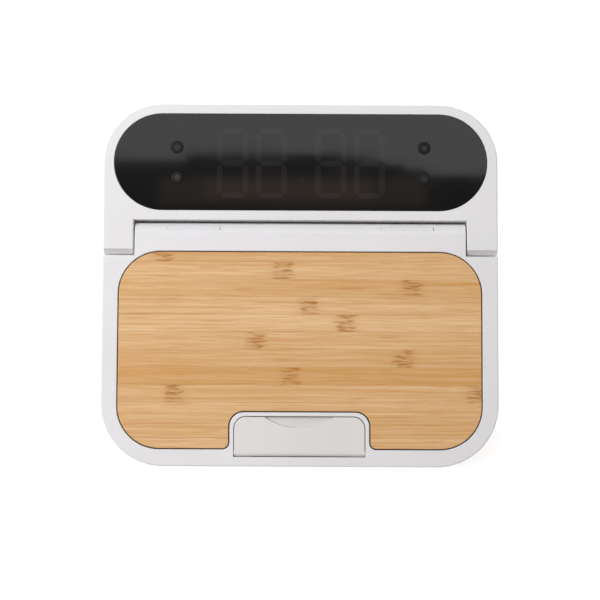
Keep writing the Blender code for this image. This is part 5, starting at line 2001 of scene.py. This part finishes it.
@dataclass
class Batteries:
    """The two cells, their springs and contact plates."""

    bench: Bench
    edge: float = 0.5 * MM
    nub_radius: float = 1.9 * MM
    nub_length: float = 0.9 * MM
    ring_radius: float = 4.0 * MM
    ring_depth: float = 0.15 * MM
    spring_turns: float = 4.0
    wire_radius: float = 0.35 * MM

    def cell(self, name: str, positive: int) -> None:
        """One cell with its shrink sleeve rolled over both ends.

        Args:
            name: Which cell, front or rear.
            positive: 1 if its nub points to +X, -1 if to -X.
        """
        node = "aaa_cell_" + name
        low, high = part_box(node)
        radius, half = (high.z - low.z) / 2, (high.x - low.x) / 2
        shoulder = half - self.nub_length
        profile = [
            (0, -half + self.ring_depth, 0),
            (self.ring_radius, -half + self.ring_depth, 0),
            (self.ring_radius, -half, 0),
            (radius, -half, self.edge),
            (radius, shoulder, self.edge),
            (self.ring_radius, shoulder, 0),
            (self.ring_radius, shoulder - self.ring_depth, 0),
            (self.nub_radius, shoulder - self.ring_depth, 0),
            (self.nub_radius, half, self.edge / 2),
            (0, half, 0),
        ]
        along = Vector((positive, 0, 0))
        made = turned(node + "_sleeved", profile, (low + high) / 2, along, ROUND_FACETS)
        self.bench.present(shade(made), "base", Slot.WRAP, [node])
        ends = self.bench.finishes[Slot.STEEL]
        made.data.materials.append(ends)
        for face in made.data.polygons:
            spot = face.center - (low + high) / 2
            bare = math.hypot(spot.y, spot.z) < self.ring_radius and abs(face.normal.x) > 0.5
            if bare or math.hypot(spot.y, spot.z) < self.nub_radius + self.edge:
                face.material_index = 1

    def spring(self, name: str, side: int) -> None:
        """A coil spring between a cell's flat end and its contact.

        Args:
            name: Which cell, front or rear.
            side: 1 if the spring is at +X, -1 if at -X.
        """
        node = "contact_spring_" + name
        low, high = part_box(node)
        outer = high.x if side > 0 else low.x
        cell = middle("aaa_cell_" + name)
        start = Vector((outer - side * self.wire_radius, cell.y, cell.z))
        sizes = {
            "Radius": (high.z - low.z) / 2 - self.wire_radius,
            "Length": high.x - low.x - 2 * self.wire_radius,
            "Turns": self.spring_turns,
            "Wire_Radius": self.wire_radius,
            "Turn": -side * math.pi / 2,
        }
        steel = self.bench.finishes[Slot.STEEL]
        made = grow(node + "_coiled", spring, [start], steel, **sizes)
        self.bench.present(made, "base", Slot.STEEL, [node])

    def build(self) -> None:
        """Builds both cells and both springs, and dresses the plates."""
        self.cell("front", -1)
        self.cell("rear", 1)
        self.spring("front", 1)
        self.spring("rear", -1)
        plates = ("contact_bridge", "contact_plate_negative", "contact_plate_positive")
        self.bench.dress(Slot.STEEL, *plates)


@dataclass
class BatteryDoor:
    """The hinged door with its knuckle, pins and finger scoop."""

    layout: Layout
    bench: Bench
    base: Base
    pin_length: float = 1.2 * MM
    edge: float = 0.35 * MM
    under_edge: float = 0.15 * MM
    scoop_edge: float = 0.35 * MM
    scoop_root: float = 0.5 * MM
    painted_shade_rise: float = 0.45 * MM  # how far up the scoop's root the darker floor reaches, painted shade of the recess

    def panel(self, grow: float) -> Corners:
        """Plan of the door behind its hinge line.

        Args:
            grow: How far the plan is grown.

        Returns:
            The corners.
        """
        base = self.base
        side, rear = base.door_width / 2 + grow, base.door_rear + grow
        front, radius = self.layout.door_axis.y - grow, base.door_corner + grow
        return plate(side, front, rear, 0, radius)

    def build(self) -> None:
        """Builds the door."""
        at, base = self.layout, self.base
        top, axis = at.top, at.door_axis
        bottom = top - base.door_thickness
        work = Workpiece(
            slab("door_panel", self.panel, bottom, top, self.under_edge, self.edge)
        )
        width = base.door_width
        work.join(rod("door_knuckle", axis, base.door_knuckle, width, "X"))
        work.join(rod("door_pins", axis, base.door_pin, width + 2 * self.pin_length, "X"))
        outside = base.scoop(0)
        pan_bottom = top - base.scoop_depth - base.scoop_wall
        pan = slab(
            "scoop_pan",
            lambda grow: outside(base.scoop_wall + grow),
            pan_bottom,
            top - base.door_thickness / 2,
        )
        floor = top - base.scoop_depth
        plan = base.scoop(CUT_PAST)
        scoop = slab("scoop", plan, floor, top, self.scoop_root, -self.scoop_edge)
        work.join(pan).cut(scoop)
        finishes = self.bench.finishes
        door = work.finished()
        self.bench.present(door, "battery_door", Slot.WHITE, ["battery_door"], finishes.door)
        # The scoop's floor takes the grip material, whose darker colour is painted shade of the
        # recess.
        door.data.materials.append(finishes.grip_and_painted_shade)
        for face in door.data.polygons:
            if abs(face.center.z - floor) < self.painted_shade_rise and face.normal.z > 0.5:
                face.material_index = 1


@dataclass
class Platform:
    """The bamboo board and what carries it."""

    bench: Bench
    base: Base
    edge: float = 0.5 * MM
    under_edge: float = 0.2 * MM
    level: float = 0.75  # a face whose normal's Z is less takes the darker copy, painted shade of the gap

    def build(self) -> None:
        """Builds the board and dresses the rest."""
        low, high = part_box("bamboo_platform")
        plan = self.base.platform
        board = slab("bamboo_board", plan, low.z, high.z, self.under_edge, self.edge)
        self.bench.present(shade(board), "platform", Slot.BAMBOO, ["bamboo_platform"])
        # Faces that turn away from up take the darker copy of the bamboo, painted shade of the gap
        # round the board.
        board.data.materials.append(self.bench.finishes.bamboo_edge)
        for face in board.data.polygons:
            face.material_index = int(abs(face.normal.z) < self.level)
        self.bench.dress(Slot.GREY, "platform_carrier")
        self.bench.dress(Slot.STEEL, "load_cell_top_spacer", "platform_screw_1", "platform_screw_2")


@dataclass
class Head:
    """The head: its shell with both arms, its cover, feet and screws."""

    layout: Layout
    bench: Bench
    fastening: Fastening
    corner_radius: float = 32.4 * MM
    edge: float = 0.9 * MM
    under_edge: float = 0.8 * MM
    top_wall: float = 3.2 * MM
    arm_bevel: float = 2.7 * MM
    arm_soft: float = 0.8 * MM
    arm_bore: float = 6.8 * MM
    boss_radius: float = 5.5 * MM
    boss_length: float = 5.0 * MM
    shaft_radius: float = 3.0 * MM
    front_share: float = 0.25  # of the edge's softness on the straight front
    window_gap: float = 0.1 * MM
    seat_edge: float = 0.2 * MM
    cover_edge: float = 0.2 * MM
    ledge: float = 3.0 * MM

    def outline(self, grow: float) -> Corners:
        """Plan of the head behind the barrel.

        Args:
            grow: How far the plan is grown.

        Returns:
            The corners.
        """
        at = self.layout
        side, radius = at.side + grow, self.corner_radius + grow
        front, rear = at.head_front - self.front_share * grow, at.rear + grow
        return plate(side, front, rear, 0, radius)

    def cavity(self, grow: float) -> Corners:
        """Plan of the inside with both arms.

        Args:
            grow: How far the plan is grown.

        Returns:
            The corners.
        """
        at = self.layout
        inset = at.side_wall - grow
        side, rear, front = at.side - inset, at.rear - inset, at.head_front + inset
        arm, end = at.arm_inner + inset, at.axis.y - grow
        right = [(arm, front, 0), (arm, end, 0), (side, end, 0)]
        right.append((side, rear, self.corner_radius - inset))
        return mirrored(right)

    def window(self, grow: float) -> Corners:
        """Plan of the window, a bar with fully round ends.

        Args:
            grow: How far the plan is grown.

        Returns:
            The corners.
        """
        low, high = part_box("display_window")
        radius = (high.y - low.y) / 2 + grow
        side, front, rear = high.x + grow, low.y - grow, high.y + grow
        return plate(side, front, rear, radius, radius)

    def shell(self) -> None:
        """The white front shell with both hinge arms and the window's seat."""
        at = self.layout
        work = Workpiece(
            slab("head_shell", self.outline, at.bottom, at.top, self.under_edge, self.edge)
        )
        arm = at.profile(
            at.axis.y - at.knuckle, at.head_front + at.side_wall, self.arm_soft, self.arm_bevel
        )
        for name, sign in SIDES:
            low, high = span(sign, at.arm_inner, at.side)
            work.join(slab("arm_" + name, arm, low, high, self.edge, self.edge, Axis.ACROSS))
        roof = at.top - self.top_wall
        work.cut(slab("cavity", self.cavity, at.bottom, roof, -MOUTH_EDGE))
        for name, sign in SIDES:
            near, far = at.arm_inner + at.side_wall, at.side - at.side_wall
            centre = (sign * (near + far) / 2, at.axis.y, at.axis.z)
            work.cut(rod("arm_bore_" + name, centre, self.arm_bore, far - near, "X"))
        for name, sign in SIDES:
            start = at.arm_inner + at.side_wall / 2
            end = at.arm_inner + at.side_wall + self.boss_length
            centre = (sign * (start + end) / 2, at.axis.y, at.axis.z)
            work.join(rod("arm_boss_" + name, centre, self.boss_radius, end - start, "X"))
            reach = end - at.arm_inner + 2 * CUT_PAST
            centre = (sign * (at.arm_inner + end) / 2, at.axis.y, at.axis.z)
            work.cut(rod("arm_hole_" + name, centre, self.shaft_radius + at.gap, reach, "X"))
        self.fastening.bosses(work, HEAD_SCREWS, roof + self.top_wall / 2)
        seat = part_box("display_window")[0].z - at.gap
        wide = lambda grow: self.window(self.window_gap + grow)
        narrow = lambda grow: self.window(grow - self.ledge)
        work.cut(
            slab("window_seat", wide, seat, at.top, top=-self.seat_edge),
            slab("window_opening", narrow, roof - CUT_PAST, at.top),
        )
        self.bench.present(work.finished(), "head", Slot.WHITE, ["head_front_housing"])

    def cover(self) -> None:
        """The white cover on the underside, with posts, pockets and counterbores."""
        at = self.layout
        plan = lambda grow: self.cavity(grow - at.gap)
        work = Workpiece(slab("head_cover", plan, at.bottom, at.cover_top, self.cover_edge))
        board_low, board_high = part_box("display_board")
        self.fastening.posts(work, "display_post", board_low, board_high)
        self.fastening.pockets(work, HEAD_FEET)
        self.fastening.sinks(work, HEAD_SCREWS)
        self.bench.present(work.finished(), "head", Slot.WHITE, ["head_rear_cover"])

    def build(self) -> None:
        """Builds and dresses the head's structure."""
        self.shell()
        self.cover()
        steel, rubber = self.bench.finishes[Slot.STEEL], self.bench.finishes[Slot.RUBBER]
        add_feet("head_feet", "head", HEAD_FEET, self.bench, rubber)
        add_screws("head_screws", "head", HEAD_SCREWS, self.bench, steel)
        self.bench.dress(Slot.STEEL, "hinge_shaft_left", "hinge_shaft_right")
        self.bench.dress(Slot.JACKET, "display_cable")


class Sign(Enum):
    """The sign on a button."""

    POWER = "power"
    RING = "ring"
    PLUS = "plus"
    DOWN = "down"


@dataclass
class Display:
    """The window, what shows through it, and the four buttons."""

    bench: Bench
    digit_x: tuple[float, ...] = (-38.0 * MM, -16.3 * MM, 16.8 * MM, 38.4 * MM)
    digit_width: float = 14.2 * MM
    digit_height: float = 36.0 * MM
    digit_drop: float = 0.7 * MM
    bar: float = 3.2 * MM
    bar_gap: float = 1.2 * MM
    inlay: float = 0.2 * MM
    proud: float = 0.02 * MM  # the inlay's face over the window's
    colon_x: float = 0.3 * MM
    colon_y: float = 10.2 * MM
    dot_radius: float = 1.7 * MM
    mark_places: tuple[float, float] = (56 * MM, 9 * MM)  # from the window's middle, all four ways
    mark_radius: float = 3.0 * MM
    mark_stroke: float = 0.8 * MM
    mark_bar: float = 1.4 * MM  # half the bar inside a mark
    flange: float = 1.0 * MM  # a button's, past its cap
    flange_height: float = 1.2 * MM
    pane_edge: float = 0.2 * MM
    cap_edge: float = 0.15 * MM
    stroke: float = 0.3 * MM  # of a printed sign
    sign_reach: float = 1.15 * MM
    sign_sunk: float = 0.05 * MM
    sign_proud: float = 0.04 * MM
    hole_gap: float = 0.25 * MM
    rim_radius: float = 2.5 * MM
    rim_width: float = 0.5 * MM
    rim_depth: float = 0.25 * MM
    signs: tuple[tuple[str, Sign], ...] = (
        ("power_button", Sign.POWER),
        ("tare_button", Sign.RING),
        ("unit_button", Sign.PLUS),
        ("timer_button", Sign.DOWN),
    )

    def window(self) -> None:
        """The smoked pane with a hole for each button."""
        low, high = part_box("display_window")
        cap_low, cap_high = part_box("power_button")
        cap_radius = (cap_high.x - cap_low.x) / 2 - self.flange
        centre = (low + high) / 2
        places = [Vector((middle(name).x, middle(name).y, centre.z)) for name, _ in self.signs]
        made = grow(
            "smoked_window",
            pane,
            places,
            self.bench.finishes[Slot.WINDOW],
            Centre=centre,
            Length=high.x - low.x,
            Depth=high.y - low.y,
            Thickness=high.z - low.z,
            Edge=self.pane_edge,
            Hole_Radius=cap_radius + self.hole_gap,
        )
        self.bench.present(made, "head", Slot.WINDOW, ["display_window"])

    def inlays(self) -> None:
        """The unlit digits, colon and marks, as they show through the window."""
        low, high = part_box("display_window")
        centre = (low + high) / 2
        face = high.z + self.proud
        height = face - self.inlay / 2
        made = grow(
            "unlit_digits",
            digits,
            [Vector((x, centre.y - self.digit_drop, height)) for x in self.digit_x],
            self.bench.finishes.segment,
            Width=self.digit_width,
            Height=self.digit_height,
            Bar=self.bar,
            Gap=self.bar_gap,
            Thickness=self.inlay,
        )
        self.bench.present(made, "head", Slot.WINDOW, (), self.bench.finishes.segment)
        builder = bmesh.new()
        bottom = face - self.inlay
        half = self.dot_radius / 2
        for sign in (-1, 1):
            dot = arc(Vector((self.colon_x, centre.y + sign * self.colon_y)), half, 0, 360)
            ribbon(builder, dot, self.dot_radius * 0.98, bottom, face, True)
        across, away = self.mark_places
        reach = Vector((self.mark_bar, 0))
        for x in (-across, across):
            for sign in (-1, 1):
                mark = Vector((x, centre.y + sign * away))
                ring = arc(mark, self.mark_radius, 0, 360)
                ribbon(builder, ring, self.mark_stroke, bottom, face, True)
                ribbon(builder, [mark - reach, mark + reach], self.mark_stroke, bottom, face)
        marks = shade(keep("unlit_marks", builder))
        self.bench.present(marks, "head", Slot.WINDOW, (), self.bench.finishes.mark)

    def cap(self, name: str) -> float:
        """A button's cap with a raised ring round its sign.

        Args:
            name: The button.

        Returns:
            The height of the floor inside the ring.
        """
        low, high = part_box(name)
        flange = (high.x - low.x) / 2
        radius, height = flange - self.flange, high.z - low.z
        floor = height - self.rim_depth
        inner = self.rim_radius - self.rim_width
        profile = [
            (0, floor, 0),
            (inner - 0.1 * MM, floor, 0),
            (inner, height, 0.08 * MM),
            (self.rim_radius, height, 0.1 * MM),
            (self.rim_radius + 0.1 * MM, floor + 0.05 * MM, 0),
            (radius, floor - 0.05 * MM, self.cap_edge),
            (radius, self.flange_height, 0),
            (flange, self.flange_height, 0.1 * MM),
            (flange, 0, 0),
            (0, 0, 0),
        ]
        made = turned(name + "_cap", profile, foot_of(name), segments=ROUND_FACETS)
        silicone = self.bench.finishes.silicone
        self.bench.present(shade(made), name, Slot.BLACK, [name], silicone)
        return low.z + floor

    def sign(self, name: str, kind: Sign, floor: float) -> None:
        """The printed sign inside a button's ring.

        Args:
            name: The button.
            kind: Which sign.
            floor: The height that it lies on.
        """
        at = Vector(middle(name)[:2])
        stroke, reach = self.stroke, self.sign_reach
        bottom, top = floor - self.sign_sunk, floor + self.sign_proud
        strokes: list[tuple[list[Vector], bool]]
        if kind is Sign.POWER:
            upright = [at + Vector((0, 0.1 * MM)), at + Vector((0, reach + 0.25 * MM))]
            strokes = [(arc(at, reach, 125, 290), False), (upright, False)]
        elif kind is Sign.RING:
            strokes = [(arc(at, reach, 0, 360), True), (arc(at, 0.25 * MM, 0, 360), True)]
        elif kind is Sign.PLUS:
            level = [at - Vector((reach, 0)), at + Vector((reach, 0))]
            upper = [at + Vector((0, stroke / 2)), at + Vector((0, reach))]
            lower = [at - Vector((0, reach)), at - Vector((0, stroke / 2))]
            strokes = [(level, False), (upper, False), (lower, False)]
        else:
            tips = [Vector((-reach, 0.6 * MM)), Vector((reach, 0.6 * MM)), Vector((0, -reach))]
            strokes = [([at + tip for tip in tips], True)]
        builder = bmesh.new()
        for points, closed in strokes:
            ribbon(builder, points, stroke, bottom, top, closed)
        made = shade(keep(name + "_sign", builder))
        self.bench.present(made, name, Slot.BLACK, (), self.bench.finishes.sign)

    def build(self) -> None:
        """Builds the window, inlays and buttons, and dresses what lies behind."""
        self.window()
        self.inlays()
        for name, kind in self.signs:
            self.sign(name, kind, self.cap(name))
            self.bench.dress(Slot.BLACK, name + "_switch")
        self.bench.dress(Slot.BOARD, "display_board")
        self.bench.dress(Slot.BLACK, "led_digit_module")


@dataclass(frozen=True)
class Panel:
    """A soft light panel."""

    name: str
    place: tuple[float, float, float]
    size: tuple[float, float]
    radiance: float
    turn: tuple[float, float, float] = (0.0, 0.0, 0.0)  # degrees; unturned, it shines down
    tint: str = "#FFFFFF"

    def hang(self) -> None:
        """Puts the panel in the scene."""
        light = bpy.data.lights.new(self.name, "AREA")
        light.shape = "RECTANGLE"
        light.size, light.size_y = self.size
        light.energy = self.radiance * math.pi * self.size[0] * self.size[1]
        light.color = linear(self.tint)[:3]
        made = bpy.data.objects.new(self.name, light)
        made.location = self.place
        made.rotation_euler = [math.radians(angle) for angle in self.turn]
        bpy.context.scene.collection.objects.link(made)


@dataclass
class Studio:
    """The pale floor, the soft light and the camera."""

    floor_size: float = 8.0
    distance: float = 0.900
    elevation: float = 85.45  # degrees above the horizon, from the front
    roll: float = 0.26  # degrees
    lens: float = 97.2  # millimetres, on a 36 mm sensor
    target: tuple[float, float, float] = (0.0, -0.0088, 0.018)
    surround: float = 0.17
    fibre: float = 4 * MM
    glow: float = 0.5
    glow_share: Range = (0.45, 0.95)  # where it begins and is full, 1 being the scale's outline
    covered: tuple[float, float] = (0.110, 0.101)  # half sizes of the floor the scale covers
    panels: tuple[Panel, ...] = (
        Panel("rear_left_panel", (-0.7, 0.7656, 1.05), (1.125, 1.05), 1.28),
        Panel("rear_middle_panel", (-0.0438, 0.7695, 1.05), (0.1875, 1.041), 1.28),
        Panel("rear_step_1_panel", (0.0625, 0.7685, 1.05), (0.025, 1.043), 1.28),
        Panel("rear_step_2_panel", (0.0875, 0.7660, 1.05), (0.025, 1.048), 1.28),
        Panel("rear_step_3_panel", (0.1125, 0.7635, 1.05), (0.025, 1.053), 1.28),
        Panel("rear_step_4_panel", (0.1375, 0.7605, 1.05), (0.025, 1.059), 1.28),
        Panel("rear_right_panel", (0.55, 0.7570, 1.05), (0.8, 1.066), 1.28),
        Panel("warm_strip", (-0.015, 0.206, 1.05), (0.20, 0.024), 0.55, tint="#FFD8B7"),
        Panel("warm_edge", (-0.01, 0.203, 1.05), (0.32, 0.034), 0.28, tint="#FFDCC0"),
        Panel("left_panel", (-0.75, 0.1, 0.85), (0.7, 0.7), 4.3, (0, -41, 0), "#F8F8FF"),
        Panel("front_fill", (0.0, -0.38, 1.05), (1.6, 1.0), 0.44, tint="#FFF6EC"),
    )

    def floor(self) -> None:
        """A plain floor of matt white board, lit through from below but not under the scale."""
        half = self.floor_size / 2
        builder = bmesh.new()
        bmesh.ops.create_grid(builder, x_segments=1, y_segments=1, size=half)
        made = keep("floor", builder)
        nodes = Shading("matt_white_board")
        axes = nodes.axes(nodes.place)
        fourths = []
        for axis, edge in zip("XY", self.covered):
            share = nodes.maths("DIVIDE", axes[axis], edge)
            square = nodes.maths("MULTIPLY", share, share)
            fourths.append(nodes.maths("MULTIPLY", square, square))
        out = nodes.maths("ADD", *fourths)
        fibre = nodes.noise(self.fibre)
        material = nodes.finished(
            {
                "Base Color": nodes.mixed(fibre, linear("#FDFDFD"), linear("#FBFBFB")),
                "Roughness": 0.9,
                "Emission Color": linear("#FFFFFF"),
                "Emission Strength": nodes.ranged(out, self.glow_share, (0.0, self.glow)),
            }
        )
        made.data.materials.append(material)

    def light(self) -> None:
        """Even surrounding light and the soft panels."""
        world = bpy.data.worlds.new("even_surround")
        world.use_nodes = True
        background = world.node_tree.nodes["Background"]
        background.inputs["Color"].default_value = (1.0, 1.0, 1.0, 1.0)
        background.inputs["Strength"].default_value = self.surround
        bpy.context.scene.world = world
        for panel in self.panels:
            panel.hang()
        bpy.context.scene.view_settings.view_transform = "Standard"

    def camera(self) -> None:
        """The camera, high over the front edge."""
        data = bpy.data.cameras.new("camera")
        data.sensor_width = 36.0
        data.lens = self.lens
        made = bpy.data.objects.new("camera", data)
        slope = math.radians(self.elevation)
        back = Vector((0, -math.cos(slope), math.sin(slope)))
        aim = (-back).to_track_quat("-Z", "Y").to_matrix().to_4x4()
        roll = Matrix.Rotation(math.radians(self.roll), 4, "Z")
        made.matrix_world = Matrix.Translation(Vector(self.target) + back * self.distance) @ aim @ roll
        bpy.context.scene.collection.objects.link(made)
        bpy.context.scene.camera = made

    def build(self) -> None:
        """Sets the studio up."""
        self.floor()
        self.light()
        self.camera()


def clear_scene() -> None:
    """Removes whatever the scene holds."""
    for scene_object in list(bpy.data.objects):
        bpy.data.objects.remove(scene_object, do_unlink=True)


def main() -> None:
    """Loads the frame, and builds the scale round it."""
    logging.basicConfig(level=logging.INFO, format="%(message)s", stream=sys.stdout)
    clear_scene()
    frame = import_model()
    Studio().build()
    layout = Layout.read(frame["joints"])
    bench = Bench(frame, Finishes())
    fastening = Fastening(layout)
    base = Base(layout, bench, fastening)
    base.build()
    Batteries(bench).build()
    BatteryDoor(layout, bench, base).build()
    Platform(bench, base).build()
    Head(layout, bench, fastening).build()
    Display(bench).build()


if __name__ == "__main__":
    main()
